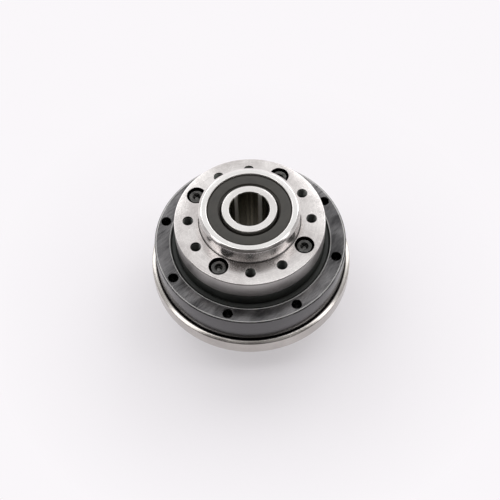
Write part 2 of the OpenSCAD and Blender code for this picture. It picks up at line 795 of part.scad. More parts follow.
module balls(z) {
    color([0.8, 0.8, 0.82]) at_angles(pitch_r, even_angles(ball_count))
        translate([0, 0, z + bearing_w / 2]) sphere(d = ball_d, $fn = small_fn);
}

module cage(z) {
    thickness = race_gap * 1.4;
    height = ball_d + 1;
    color([0.72, 0.6, 0.35]) translate([0, 0, z + bearing_w / 2]) difference() {
        translate([0, 0, -height / 2])
            tube(pitch_r + thickness / 2, pitch_r - thickness / 2, height);
        at_angles(pitch_r, even_angles(ball_count)) rotate([0, 90, 0])
            cylinder(r = ball_d / 2 + run_gap, h = 4 * thickness, center = true,
                $fn = small_fn);
    }
}

module shields(z) {
    thickness = 0.35;
    inset = 0.2;
    color([0.5, 0.5, 0.52]) for (h = [inset, bearing_w - inset - thickness])
        translate([0, 0, z + h])
            tube(pitch_r + race_gap, pitch_r - race_gap + 2 * run_gap, thickness);
}

module output_bearing_inner_race() { inner_race(output_bearing_z); }
module output_bearing_outer_race() { outer_race(output_bearing_z); }
module output_bearing_balls() { balls(output_bearing_z); }
module output_bearing_cage() { cage(output_bearing_z); }
module output_bearing_shields() { shields(output_bearing_z); }
module input_bearing_inner_race() { inner_race(input_bearing_z); }
module input_bearing_outer_race() { outer_race(input_bearing_z); }
module input_bearing_balls() { balls(input_bearing_z); }
module input_bearing_cage() { cage(input_bearing_z); }
module input_bearing_shields() { shields(input_bearing_z); }

// ---- Shaft seals ----

seal_lip_in = 1.1;
seal_lip_t = 1.15;
spring_d = 0.8;

// A shaft seal with its flat face at z = 0 and its lip and open side below
module shaft_seal() {
    seat = seal_od / 2;
    lip = shaft_d / 2 + run_gap;
    face_in = shaft_d / 2 + seal_lip_in;
    wall = 1;
    web = 1.2;
    color([0.17, 0.16, 0.14]) turned([[seat, 0], [seat, -seal_h], [seat - wall, -seal_h],
        [seat - wall, -web - 0.4], [seat - wall - 0.4, -web], [face_in + 0.8, -web],
        [lip + seal_lip_t, -web - 1.3], [lip + seal_lip_t, -web - 2.3], [lip + 0.4, -web - 2.5],
        [lip, -web - 1.7], [face_in - 0.5, -web], [face_in, -web + 0.5], [face_in, 0]]);
}

// The garter spring that holds the seal's lip on the shaft
module garter_spring() {
    lip = shaft_d / 2 + run_gap;
    color([0.7, 0.7, 0.7]) rotate_extrude($fn = round_fn)
        translate([lip + seal_lip_t + spring_d / 2 + fit_gap, -3]) circle(d = spring_d, $fn = small_fn);
}

module output_shaft_seal() {
    translate([0, 0, output_seal_z + seal_h]) shaft_seal();
}

module output_seal_spring() {
    translate([0, 0, output_seal_z + seal_h]) garter_spring();
}

module input_shaft_seal() {
    translate([0, 0, input_seal_z]) mirror([0, 0, 1]) shaft_seal();
}

module input_seal_spring() {
    translate([0, 0, input_seal_z]) mirror([0, 0, 1]) garter_spring();
}

input_housing();
outer_bearing_ring();
loading_plug();
plug_pin();
flexspline();
circular_spline();
inner_bearing_ring();
crossed_rollers();
roller_spacers();
output_flange();
output_screws();
output_seal();
hollow_shaft();
flex_bearing_inner_race();
flex_bearing_outer_race();
flex_bearing_balls();
flex_bearing_cage();
output_bearing_inner_race();
output_bearing_outer_race();
output_bearing_balls();
output_bearing_cage();
output_bearing_shields();
input_bearing_inner_race();
input_bearing_outer_race();
input_bearing_balls();
input_bearing_cage();
input_bearing_shields();
output_shaft_seal();
output_seal_spring();
input_shaft_seal();
input_seal_spring();
output_circlip();
input_circlip();
housing_o_ring();
ring_o_ring();
flange_o_ring();
housing_screws();
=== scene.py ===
# %% [markdown]
# # A strain wave gear unit with a hollow shaft
#
# The object is a small reduction gear from a robot's joint, 74 mm across and 52.5 mm tall. It
# stands on its input end. From the bottom up there is a bright lip, a dark bearing ring with eight
# mounting holes, a black gear ring, and a bright output flange with a boss, four cap screws and
# eight tapped holes. A hollow shaft runs through the middle.
#
# Nearly every piece came off a lathe. That decides how it is modelled and how it shines: a turned
# piece is an outline spun round an axis, and its fine tool marks spread each highlight into a fan.
#
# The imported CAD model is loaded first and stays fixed. Its hidden pieces keep their meshes and
# get new finishes. The pieces that show are made again, with broken edges, threads and sockets.

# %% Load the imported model
import json
import math

import bmesh
import bpy
from mathutils import Matrix, Quaternion, Vector


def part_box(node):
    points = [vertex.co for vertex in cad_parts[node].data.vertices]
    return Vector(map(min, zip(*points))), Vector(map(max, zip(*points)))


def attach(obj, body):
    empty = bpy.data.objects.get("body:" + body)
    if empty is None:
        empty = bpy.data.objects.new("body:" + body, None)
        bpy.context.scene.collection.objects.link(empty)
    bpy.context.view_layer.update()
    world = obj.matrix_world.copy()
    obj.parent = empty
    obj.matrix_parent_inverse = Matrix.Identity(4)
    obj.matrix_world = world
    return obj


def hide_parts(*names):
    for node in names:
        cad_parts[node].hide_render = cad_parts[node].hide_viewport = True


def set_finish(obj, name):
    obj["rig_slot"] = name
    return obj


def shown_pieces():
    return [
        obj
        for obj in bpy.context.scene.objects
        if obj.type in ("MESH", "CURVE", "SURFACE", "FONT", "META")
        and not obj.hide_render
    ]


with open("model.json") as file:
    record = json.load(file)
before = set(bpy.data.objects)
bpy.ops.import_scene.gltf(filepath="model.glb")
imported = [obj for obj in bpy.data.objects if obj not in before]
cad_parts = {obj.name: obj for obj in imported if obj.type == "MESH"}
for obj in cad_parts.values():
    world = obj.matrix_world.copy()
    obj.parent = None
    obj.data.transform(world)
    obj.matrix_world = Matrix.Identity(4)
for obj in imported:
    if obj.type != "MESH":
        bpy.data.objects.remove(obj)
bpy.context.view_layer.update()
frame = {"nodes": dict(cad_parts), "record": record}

MM = 0.001

# %% [markdown]
# ## Heights and radii that the pieces share
#
# On the real unit each piece is stacked on the one below, so one wrong height shifts all the rest.
# The heights could be typed in again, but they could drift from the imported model. So each is read
# from the model where a node ends there. The numbers are in millimetres, as on a turner's drawing,
# and they turn into metres only when a point is made.

# %% Read the sizes of the visible pieces
def box_mm(node):
    """The lowest and highest z and the radius of a round node, in millimetres."""
    low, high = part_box(node)
    return low.z / MM, high.z / MM, high.x / MM


housing_low, rim_z, lip_r = box_mm("input_housing")
ring_low, ring_top, ring_r = box_mm("outer_bearing_ring")
flange_z, boss_top, flange_r = box_mm("output_flange")
seal_low, seal_top = box_mm("output_seal")[:2]
shaft_low, shaft_top = box_mm("hollow_shaft")[:2]
print("lip", lip_r, rim_z, "ring", ring_r, ring_low, ring_top)
print("flange", flange_r, flange_z, boss_top, "shaft", shaft_low, shaft_top)

# %% [markdown]
# ## How a turned piece is made
#
# A lathe moves its tool along one outline while the work spins. Stacked cylinders would need a
# Boolean for every step and would have no soft corners. So the outline itself is laid flat in the
# XZ plane and spun round Z. A corner with a third number is broken by that many millimetres
# first, which is what catches the light on a machined edge. The spin closes on itself, and its
# normals are recalculated because a spin can leave the skin inside out.

# %% Spin an outline
RING_STEPS = 180
SMALL_ROUND = 0.2
SAME_POINT = 1e-7


def turned(outline, steps=RING_STEPS):
    """A closed outline of (radius, height[, rounding]) in mm, spun round the Z axis."""
    work = bmesh.new()
    corners = [work.verts.new((point[0] * MM, 0, point[1] * MM)) for point in outline]
    work.faces.new(corners)
    for corner, point in zip(corners, outline):
        if len(point) > 2:
            bmesh.ops.bevel(
                work, geom=[corner], offset=point[2] * MM, offset_type="OFFSET",
                segments=3 if point[2] < SMALL_ROUND else 8, profile=0.5, affect="VERTICES",
                material=-1,
            )
    bmesh.ops.delete(work, geom=work.faces[:], context="FACES_ONLY")
    bmesh.ops.spin(
        work, geom=work.verts[:] + work.edges[:], cent=(0, 0, 0), axis=(0, 0, 1),
        dvec=(0, 0, 0), angle=math.tau, steps=steps, use_merge=True, use_duplicate=False,
    )
    bmesh.ops.remove_doubles(work, verts=work.verts[:], dist=SAME_POINT)
    bmesh.ops.recalc_face_normals(work, faces=work.faces[:])
    return work


print("a turned piece has", RING_STEPS, "steps to the circle")

# %% [markdown]
# ## Drilling
#
# A drill, a counterbore and a countersink leave turned hollows in the real steel. The hole could
# be drawn into the blank's faces by hand, but a cutter that is spun from its own outline gives the
# hole its depth, its broken edge and its floor in one go. One exact Boolean takes all the cutters
# out of the blank. It is applied at once, so the finished piece has a plain mesh.

# %% Copy a cutter round the axis
def repeated(work, places):
    """Copies of a whole bmesh at each (radius, angle) round the axis, in one bmesh."""
    start = work.verts[:] + work.edges[:] + work.faces[:]
    for radius, angle in places:
        copy = bmesh.ops.duplicate(work, geom=start)["geom"]
        verts = [item for item in copy if isinstance(item, bmesh.types.BMVert)]
        turn_round = Matrix.Rotation(math.radians(angle), 4, "Z")
        move = turn_round @ Matrix.Translation((radius * MM, 0, 0))
        bmesh.ops.transform(work, matrix=move, verts=verts)
    bmesh.ops.delete(work, geom=start, context="VERTS")
    return work


print("ready to copy round the axis")

# %% Cut one shape out of another
def plain_object(work, name):
    """A bmesh turned into an object of the scene."""
    mesh = bpy.data.meshes.new(name)
    work.to_mesh(mesh)
    work.free()
    thing = bpy.data.objects.new(name, mesh)
    bpy.context.scene.collection.objects.link(thing)
    return thing


def cut(blank, tools, name):
    """The blank with every tool taken out of it."""
    body = plain_object(blank, name)
    for number, tool in enumerate(tools):
        step = body.modifiers.new("Cut", "BOOLEAN")
        step.operation = "DIFFERENCE"
        step.solver = "EXACT"
        step.object = plain_object(tool, f"{name}.cutter{number}")
    done = bpy.data.meshes.new_from_object(
        body.evaluated_get(bpy.context.evaluated_depsgraph_get())
    )
    for step in list(body.modifiers):
        bpy.data.objects.remove(step.object)
    bpy.data.objects.remove(body)
    work = bmesh.new()
    work.from_mesh(done)
    bpy.data.meshes.remove(done)
    bmesh.ops.dissolve_degenerate(work, edges=work.edges[:], dist=SAME_POINT)
    return work


print("ready to cut")

# %% Hand a piece over to the frame
SHARP = math.radians(24)


def finished(work, name, body, slot, *nodes):
    """The bmesh as a shaded piece that rides on a body and stands for its CAD nodes."""
    piece = plain_object(work, name)
    piece.data.shade_smooth()
    piece.data.set_sharp_from_angle(angle=SHARP)
    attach(piece, body)
    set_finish(piece, slot)
    if nodes:
        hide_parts(*nodes)
    print(name, "faces:", len(piece.data.polygons))


print("edges sharper than", round(math.degrees(SHARP)), "degrees stay sharp")

# %% [markdown]
# ## The output flange
#
# The flange carries the load: eight M4 holes for the driven part, and between them four
# counterbores for the screws that hold the unit together. The boss in the middle centres the
# driven part and holds the shaft seal. A wide chamfer leads the driven part on to it, and a fine
# undercut at its foot lets that part sit flat on the face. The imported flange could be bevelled
# instead, but its long thin triangles bevel badly, so it is turned again from its outline.

# %% Turn the output flange
EDGE = 0.4
TOUCH = 0.12
FLANGE_TOP = 45.5
FLANGE_EDGE = 0.28
BOSS_R = 18.05
LAND_R = 16.95
LEAD_IN = 0.7
UNDERCUT = 0.2
UNDERCUT_TOP_W, UNDERCUT_W = 0.32, 0.28
SEAL_LEAD = 0.25
SEAL_SEAT_R = 15.02
SEAL_SEAT_Z = 47
SHOULDER_BORE_R = 14.2
BEARING_SEAT_R = 16.02
BEARING_TOP, BEARING_LOW = 46, 39
INNER_RING_SEAT_R = 19.305

flange_blank = turned([
    (INNER_RING_SEAT_R, flange_z),
    (flange_r - EDGE, flange_z, TOUCH), (flange_r, flange_z + EDGE, TOUCH),
    (flange_r, FLANGE_TOP - FLANGE_EDGE, 0.06), (flange_r - FLANGE_EDGE, FLANGE_TOP, 0.06),
    (BOSS_R + UNDERCUT_TOP_W, FLANGE_TOP, 0.04), (BOSS_R + UNDERCUT_W, FLANGE_TOP - UNDERCUT),
    (BOSS_R, FLANGE_TOP - UNDERCUT), (BOSS_R, boss_top - LEAD_IN, 0.18), (LAND_R, boss_top, 0.1),
    (SEAL_SEAT_R + SEAL_LEAD, boss_top, 0.08), (SEAL_SEAT_R, boss_top - SEAL_LEAD, 0.08),
    (SEAL_SEAT_R, SEAL_SEAT_Z), (SHOULDER_BORE_R, SEAL_SEAT_Z), (SHOULDER_BORE_R, BEARING_TOP),
    (BEARING_SEAT_R, BEARING_TOP), (BEARING_SEAT_R, BEARING_LOW),
    (INNER_RING_SEAT_R, BEARING_LOW),
])
print("flange blank faces:", len(flange_blank.faces))

# %% Drill the output flange
HOLE_CIRCLE_R = 22.0
TAP_PLACES = [(HOLE_CIRCLE_R, side * 90 + turn) for side in range(4) for turn in (-15, 15)]
SCREW_PLACES = [(HOLE_CIRCLE_R, side * 90 + 45) for side in range(4)]
TAP_R = 1.65
THREAD_MAJOR_R = 1.88
TAP_STEPS = 40
SCREW_HOLE_R = 1.7
COUNTERBORE_R, COUNTERBORE_EDGE_R = 3.45, 3.55
COUNTERBORE_Z = 42.2
COUNTERBORE_STEPS = 64

tap_drill = repeated(turned([
    (0, flange_z - 1), (TAP_R, flange_z - 1), (TAP_R, flange_z + 0.2),
    (THREAD_MAJOR_R, flange_z + 0.5), (THREAD_MAJOR_R, FLANGE_TOP - 0.05),
    (THREAD_MAJOR_R + 0.07, FLANGE_TOP + 0.02), (THREAD_MAJOR_R + 0.07, FLANGE_TOP + 1),
    (0, FLANGE_TOP + 1),
], TAP_STEPS), TAP_PLACES)
counterbore = repeated(turned([
    (0, flange_z - 1), (SCREW_HOLE_R, flange_z - 1), (SCREW_HOLE_R, COUNTERBORE_Z),
    (COUNTERBORE_R, COUNTERBORE_Z), (COUNTERBORE_R, FLANGE_TOP - 0.1),
    (COUNTERBORE_EDGE_R, FLANGE_TOP + 0.02), (COUNTERBORE_EDGE_R, FLANGE_TOP + 1),
    (0, FLANGE_TOP + 1),
], COUNTERBORE_STEPS), SCREW_PLACES)
finished(
    cut(flange_blank, [tap_drill, counterbore], "output_flange_turned"),
    "output_flange_turned", "output", "ground_steel", "output_flange",
)

# %% [markdown]
# ## Threads in the tapped holes
#
# A thread is an outline that turns and climbs at once. Rings stacked in the hole would look alike
# from far off, but they wouldn't meet. The spin operator climbs by itself when it is given a step
# along its axis as well as an angle, so one small trapezium becomes the whole ridge. It has few
# faces to a turn, because it repeats in eight holes, and its ends are closed.

# %% Wind the thread ridges
PITCH = 0.7
RIDGE_CREST_R = 1.6
RIDGE_TO_WALL = 0.03
RIDGE_FOOT, RIDGE_TIP = 0.29, 0.06
RIDGE_STEPS = 20


def thread_ridge(crest_r, root_r, low, high):
    """A closed screw ridge that fills a hole's wall from low to high."""
    work = bmesh.new()
    wall_r = root_r + RIDGE_TO_WALL
    section = [
        (wall_r, -RIDGE_FOOT), (crest_r, -RIDGE_TIP), (crest_r, RIDGE_TIP), (wall_r, RIDGE_FOOT),
    ]
    work.faces.new([work.verts.new((r * MM, 0, (low + z) * MM)) for r, z in section])
    bmesh.ops.delete(work, geom=work.faces[:], context="FACES_ONLY")
    turns = (high - low) / PITCH
    bmesh.ops.spin(
        work, geom=work.verts[:] + work.edges[:], cent=(0, 0, 0), axis=(0, 0, 1),
        dvec=(0, 0, PITCH * MM / RIDGE_STEPS), angle=math.tau * turns,
        steps=round(turns * RIDGE_STEPS), use_merge=False, use_duplicate=False,
    )
    bmesh.ops.remove_doubles(work, verts=work.verts[:], dist=SAME_POINT)
    rims = [edge for edge in work.edges if edge.is_boundary]
    bmesh.ops.holes_fill(work, edges=rims, sides=4)
    bmesh.ops.recalc_face_normals(work, faces=work.faces[:])
    return work


# The ridges belong to the bright flange, but they get the black steel finish: painted shade in the
# tapped holes.
finished(
    repeated(
        thread_ridge(RIDGE_CREST_R, THREAD_MAJOR_R, flange_z + 0.9, FLANGE_TOP - 0.42),
        TAP_PLACES,
    ),
    "output_thread_ridges", "output", "black_steel",
)

# %% [markdown]
# ## The bearing ring
#
# The dark ring is the outer race of the crossed roller bearing and also the unit's mounting
# flange. It is hardened and ground over a dark skin, so it is grey where it was ground, and its
# holes are painted black as shade. It is one turning like the flange, with a V channel inside for
# the rollers. A narrow step at its foot leaves the dark seam above the housing, and the steel below
# the step is painted black as shade too. A painted seam alone would need no step, but it would
# look flat from the side.

# %% Turn the bearing ring
SEAM_TOP = 21.2
SPIGOT_R = ring_r - 0.4
RACE_R = 27.3
ROLLER_CIRCLE_R = 27
ROLLER_Z = 25.3
SEAT_R = 28.8
SEAT_LOW = 29.6
SEAT_CHAMFER = 0.5
CHANNEL_SIDE = 3.12
channel = CHANNEL_SIDE / math.sqrt(2)
RACE_GAP = 0.3
ring_blank = turned([
    (RACE_R, ring_low), (SPIGOT_R, ring_low), (SPIGOT_R, SEAM_TOP),
    (ring_r - 0.1, SEAM_TOP, 0.05), (ring_r, SEAM_TOP + 0.12, 0.05),
    (ring_r, ring_top - EDGE, TOUCH), (ring_r - EDGE, ring_top, TOUCH),
    (SEAT_R + SEAT_CHAMFER, ring_top, 0.08), (SEAT_R, ring_top - SEAT_CHAMFER, 0.06),
    (SEAT_R, SEAT_LOW), (RACE_R, SEAT_LOW), (RACE_R, ROLLER_Z + channel - RACE_GAP),
    (ROLLER_CIRCLE_R + channel, ROLLER_Z), (RACE_R, ROLLER_Z - channel + RACE_GAP),
])
print("ring blank faces:", len(ring_blank.faces))

# %% Drill the bearing ring
MOUNT_R = 32.0
MOUNT_PLACES = [(MOUNT_R, 15 + 45 * i) for i in range(8)]
MOUNT_HOLE_R = 1.75
HOUSING_SCREW_PLACES = [(MOUNT_R, 37.5 + 90 * i) for i in range(4)]
HOUSING_TAP_R = 1.27
HOUSING_TAP_TOP = 25.9
DRILL_STEPS = 48


def drill(radius, low, high, bevel=0.2):
    """A cutter for a plain hole with a lightly broken edge at both ends."""
    return turned([
        (0, low - 1), (radius + bevel, low - 1), (radius + bevel, low), (radius, low + bevel),
        (radius, high - bevel), (radius + bevel, high), (radius + bevel, high + 1), (0, high + 1),
    ], DRILL_STEPS)


mount_drill = repeated(drill(MOUNT_HOLE_R, ring_low, ring_top), MOUNT_PLACES)
housing_tap = repeated(
    drill(HOUSING_TAP_R, ring_low, HOUSING_TAP_TOP, 0.1), HOUSING_SCREW_PLACES
)
finished(
    cut(ring_blank, [mount_drill, housing_tap], "bearing_ring_ground"),
    "bearing_ring_ground", "housing", "dark_steel", "outer_bearing_ring",
)

# %% [markdown]
# ## The input housing
#
# The housing closes the input side. Its lip stands 2 mm out from the ring and has a soft round
# lower edge, so the white table shows in it as one long gradient. The lip's top edge is a narrow
# cone, which takes the highlights of the side lamps. Round the ring's foot there is a relief
# groove, which stays black. The groove is turned, because a real one darkens on its own at every
# angle, and a dark streaked film is painted in it too, as painted shade, as in the holes. The boss
# below the lip centres the motor's bracket.

# %% Turn the input housing
LIP_Z = 14.0
LIP_CONE_W, LIP_CONE_H = 1.2, 0.52
LIP_ROUND = 1.2
BOSS_ROOT_ROUND = 2.0
GROOVE_DEPTH = 0.45
SEAT_LOW_Z, SHOULDER_LOW_Z = 11, 10
FLOOR_Z = 18
PLATE_Z = 18.5
PLATE_R = 24
INPUT_BOSS_R = 20.0
housing_blank = turned([
    (SEAL_SEAT_R + EDGE, housing_low, TOUCH), (INPUT_BOSS_R - EDGE, housing_low, TOUCH),
    (INPUT_BOSS_R, housing_low + EDGE, TOUCH), (INPUT_BOSS_R, LIP_Z, BOSS_ROOT_ROUND),
    (lip_r, LIP_Z, LIP_ROUND), (lip_r, rim_z - LIP_CONE_H, 0.22),
    (lip_r - LIP_CONE_W, rim_z, 0.06), (ring_r + 0.4, rim_z, 0.05),
    (ring_r + 0.3, rim_z - GROOVE_DEPTH), (SPIGOT_R + 0.02, rim_z - GROOVE_DEPTH),
    (SPIGOT_R + 0.02, PLATE_Z), (PLATE_R, PLATE_Z), (PLATE_R, FLOOR_Z),
    (BEARING_SEAT_R, FLOOR_Z), (BEARING_SEAT_R, SEAT_LOW_Z), (SHOULDER_BORE_R, SEAT_LOW_Z),
    (SHOULDER_BORE_R, SHOULDER_LOW_Z), (SEAL_SEAT_R, SHOULDER_LOW_Z),
    (SEAL_SEAT_R, housing_low + EDGE, TOUCH),
])
print("housing blank faces:", len(housing_blank.faces))

# %% Drill the input housing
HEAD_BORE_R, HEAD_BORE_EDGE_R = 2.55, 2.7
HEAD_BORE_TOP = 16.3
SHANK_BORE_R = 1.45
screw_bore = repeated(turned([
    (0, LIP_Z - 1), (HEAD_BORE_EDGE_R, LIP_Z - 1), (HEAD_BORE_EDGE_R, LIP_Z),
    (HEAD_BORE_R, LIP_Z + 0.15), (HEAD_BORE_R, HEAD_BORE_TOP), (SHANK_BORE_R, HEAD_BORE_TOP),
    (SHANK_BORE_R, 20), (0, 20),
], DRILL_STEPS), HOUSING_SCREW_PLACES)
mount_drill = repeated(drill(MOUNT_HOLE_R, LIP_Z, PLATE_Z), MOUNT_PLACES)
finished(
    cut(housing_blank, [mount_drill, screw_bore], "input_housing_turned"),
    "input_housing_turned", "housing", "ground_steel", "input_housing",
)

# %% [markdown]
# ## Cap screws
#
# Socket head cap screws are cold formed: the head has a crown with a rounded rim, a knurled side
# and a six-sided socket with a small countersink. The knurl could be a bump in the material, but
# then the rim would stay smooth. So the head is spun, every other point of its side is pulled in,
# and a six-sided prism and two cones are cut out of its top.

# %% Form a cap screw
KNURLS = 32
KNURL_DEPTH = 0.09
SOCKET_DEPTH = 0.55
SINK_DEPTH = 0.28
ON_SIDE = 1e-6


def knurl(head, head_r):
    """Pulls in every other row of points on the head's side."""
    step = math.tau / (KNURLS * 2)
    side = [v for v in head.verts if abs(v.co.xy.length - head_r * MM) < ON_SIDE]
    dips = [v for v in side if round(math.atan2(v.co.y, v.co.x) / step) % 2]
    shrink = 1 - KNURL_DEPTH / head_r
    bmesh.ops.scale(head, vec=(shrink, shrink, 1), verts=dips)


def cap_screw(head_r, head_h, shank_r, length, flats):
    """A cap screw with the top of its head at z = 0 and its shank pointing down."""
    head = turned([
        (0, 0), (head_r - 0.1, 0, 0.28), (head_r, -0.32, 0.1), (head_r, -head_h + 0.15, 0.05),
        (head_r - 0.2, -head_h), (shank_r, -head_h), (shank_r, -head_h - length + 0.3),
        (shank_r - 0.3, -head_h - length), (0, -head_h - length),
    ], KNURLS * 2)
    knurl(head, head_r)
    corner_r = flats / math.sqrt(3)
    floor = -head_h * SOCKET_DEPTH
    prism = bmesh.new()
    bmesh.ops.create_cone(
        prism, cap_ends=True, cap_tris=False, segments=6, radius1=corner_r * MM,
        radius2=corner_r * MM, depth=2 * head_h * SOCKET_DEPTH * MM,
    )
    cone_r = corner_r + 0.05
    sink = turned([
        (0, -SINK_DEPTH), (cone_r - SINK_DEPTH, -SINK_DEPTH), (cone_r + 0.1, 0.1), (0, 0.1),
    ], 48)
    point = turned([(0, floor - 0.35), (flats * 0.46, floor + 0.02), (0, -head_h * 0.3)], 24)
    return cut(head, [prism, sink, point], "cap_screw")


print("cap screws have", KNURLS, "knurls")

# %% Set the two rows of screws
def screw_row(name, screw, z, flip, places, body, node):
    """A row of screws; flip turns them head down."""
    if flip:
        over = Matrix.Rotation(math.pi, 3, "X")
        bmesh.ops.rotate(screw, cent=(0, 0, 0), matrix=over, verts=screw.verts[:])
    bmesh.ops.translate(screw, vec=(0, 0, z * MM), verts=screw.verts[:])
    finished(repeated(screw, places), name, body, "screw_steel", node)


OUTPUT_HEAD_SINK = 0.7
HOUSING_HEAD_SINK = 0.3
screw_row(
    "output_cap_screws", cap_screw(head_r=2.75, head_h=2.6, shank_r=1.5, length=18.0, flats=2.5),
    FLANGE_TOP - OUTPUT_HEAD_SINK, False, SCREW_PLACES, "output", "output_screws",
)
screw_row(
    "housing_cap_screws", cap_screw(head_r=2.35, head_h=2.0, shank_r=1.25, length=9.2, flats=2.0),
    LIP_Z + HOUSING_HEAD_SINK, True, HOUSING_SCREW_PLACES, "housing", "housing_screws",
)

# %% [markdown]
# ## The hollow shaft
#
# The hollow shaft is one long turning: a stub for the motor coupling, two bearing seats with
# grooves for their retaining rings, and a shoulder between them that carries the wave generator's
# cam. A steep lead-in at the top lets the bearing slide on. The cam is the only part of it that
# isn't round. It could be a separate oval block, but the real one is one piece with the shaft. So
# it is turned with the rest, and then its rim is pushed out of round.

# %% Turn the hollow shaft
BORE_R = 7.0
CHAMFER, BORE_CHAMFER_H = 0.3, 0.35
STUB_R = 9.8
STUB_TOP = 4.5
SHAFT_R = 10.0
SHOULDER_R = 11.5
SHOULDER_LOW, SHOULDER_TOP = 18.0, 39.0
CLIP_GROOVE_R = 9.5
CLIP_GROOVES = ((10.1, 11.0), (46.0, 46.9))
CAM_ROUND_R = 12.5525
CAM_FLANGE_R = 12.8525
CAM_FLANGE_LOW = 30.2
CAM_LOW, CAM_HIGH = 31.0, 37.0
END_EDGE = 0.32
LEAD_LENGTH = 0.9


def clip_groove(low, high):
    """The four corners of a retaining ring's groove."""
    return (SHAFT_R, low), (CLIP_GROOVE_R, low), (CLIP_GROOVE_R, high), (SHAFT_R, high)


shaft_blank = turned([
    (BORE_R + CHAMFER, shaft_low, TOUCH), (STUB_R - CHAMFER, shaft_low, TOUCH),
    (STUB_R, shaft_low + CHAMFER, TOUCH), (STUB_R, STUB_TOP), (SHAFT_R, STUB_TOP),
    *clip_groove(*CLIP_GROOVES[0]), (SHAFT_R, SHOULDER_LOW), (SHOULDER_R, SHOULDER_LOW),
    (SHOULDER_R, CAM_FLANGE_LOW), (CAM_FLANGE_R, CAM_FLANGE_LOW), (CAM_FLANGE_R, CAM_LOW),
    (CAM_ROUND_R, CAM_LOW), (CAM_ROUND_R, CAM_HIGH), (SHOULDER_R, CAM_HIGH),
    (SHOULDER_R, SHOULDER_TOP), (SHAFT_R, SHOULDER_TOP),
    *clip_groove(*CLIP_GROOVES[1]), (SHAFT_R, shaft_top - LEAD_LENGTH, 0.1),
    (SHAFT_R - END_EDGE, shaft_top, 0.08), (BORE_R + CHAMFER, shaft_top, 0.05),
    (BORE_R, shaft_top - BORE_CHAMFER_H, 0.05), (BORE_R, shaft_low + CHAMFER, TOUCH),
])
print("shaft blank faces:", len(shaft_blank.faces))

# %% [markdown]
# ## The cam and the set screws
#
# The cam's rim swells by the cosine of twice the angle, and each point slips a little sideways so
# that the thin bearing ring round it keeps its length. The flexspline follows the same rule.
# Moving the points that lie on the rim is simpler than a second outline. Three tapped holes for
# the coupling's set screws go through the stub's wall.

# %% Push the cam out of round
WAVE = 0.355
NEUTRAL_R = 17.1805
ON_RIM = 0.001
for corner in shaft_blank.verts:
    radius = corner.co.xy.length / MM
    if abs(radius - CAM_ROUND_R) < ON_RIM:
        angle = math.atan2(corner.co.y, corner.co.x)
        slip = 2 * WAVE * (radius - NEUTRAL_R) / NEUTRAL_R ** 2 - WAVE / 2 / NEUTRAL_R
        angle, out = angle + slip * math.sin(2 * angle), radius + WAVE * math.cos(2 * angle)
        corner.co.x, corner.co.y = out * math.cos(angle) * MM, out * math.sin(angle) * MM
print("the cam stands out by", WAVE, "mm at its long ends")

# %% Drill the stub for its set screws
SET_SCREW_R = 1.25
SET_SCREW_PLACES = [(0, 45), (0, 165), (0, 285)]
set_screw_drill = turned([(0, 6), (SET_SCREW_R, 6), (SET_SCREW_R, 11), (0, 11)], 40)
bmesh.ops.rotate(
    set_screw_drill, cent=(0, 0, 0), matrix=Matrix.Rotation(math.pi / 2, 3, "Y"),
    verts=set_screw_drill.verts[:],
)
bmesh.ops.translate(
    set_screw_drill, vec=(0, 0, STUB_TOP / 2 * MM), verts=set_screw_drill.verts[:]
)
set_screw_drill = repeated(set_screw_drill, SET_SCREW_PLACES)
finished(
    cut(shaft_blank, [set_screw_drill], "hollow_shaft_turned"),
    "hollow_shaft_turned", "input", "shaft_steel", "hollow_shaft",
)

# %% [markdown]
# ## The seals
#
# A rotary shaft seal shows only its flat rubber face. The face stops short of the shaft, and
# behind it the lip leans in to touch the steel, so a dark groove is left round the shaft. The
# rubber on the outer wall has a small lead-in chamfer. A flat disc would do for the face, but the
# groove would lose its depth, so the whole section is spun. The large output seal is a flat band
# with two lips that run on the gear ring.

# %% Spin the shaft seals
def shaft_seal(name, face_z, up, body, node):
    """A shaft seal with its face at face_z, looking up (1) or down (-1)."""
    outline = [
        (15.0, 0.5, 0.05), (15.0, 5), (14, 5), (14, 1.6), (13.6, 1.2), (11.95, 1.2), (11.2, 2.5),
        (11.2, 3.5), (10.5, 3.7), (10.12, 2.9), (10.6, 1.2), (11.1, 0.8), (11.1, 0.12, 0.05),
        (11.22, 0, 0.05), (14.55, 0, 0.08),
    ]
    places = [(spot[0], face_z - spot[1] * up, *spot[2:]) for spot in outline]
    finished(turned(places), name, body, "seal_rubber", node)


SEAL_INSET = 0.5
shaft_seal(
    "output_shaft_seal_moulded", boss_top - SEAL_INSET, 1, "output", "output_shaft_seal"
)
shaft_seal(
    "input_shaft_seal_moulded", STUB_TOP + SEAL_INSET, -1, "housing", "input_shaft_seal"
)

# %% Spin the large output seal
RUN_R = 26.86
SEAL_R = 28.78
SEAL_CORE_R = 28.2
finished(turned([
    (SEAL_R, seal_low, 0.05), (SEAL_R, seal_top - 0.6), (SEAL_R - 0.3, seal_top - 0.05, 0.1),
    (RUN_R + 0.5, seal_top - 0.1, 0.1), (RUN_R, seal_top - 0.3, 0.05),
    (RUN_R + 0.3, seal_top - 0.8, 0.05), (RUN_R + 0.3, seal_low + 1.8),
    (RUN_R, seal_low + 1.2, 0.05), (RUN_R + 0.6, seal_low + 0.3), (SEAL_CORE_R, seal_low + 0.3),
    (SEAL_CORE_R, seal_low),
]), "output_seal_moulded", "housing", "seal_rubber", "output_seal")

# %% [markdown]
# ## Writing a material as sums
#
# A finish could be wired by hand, node by node, but it is easier to read as arithmetic. One small
# class wraps a socket of the node tree, so that `mask * 0.2 + 0.3` adds the two Math nodes by
# itself, and `1 - mask` works too. Every other node comes from one method. It sets the node's own
# settings first and feeds its sockets after, with numbers, colours or other wrapped sockets.

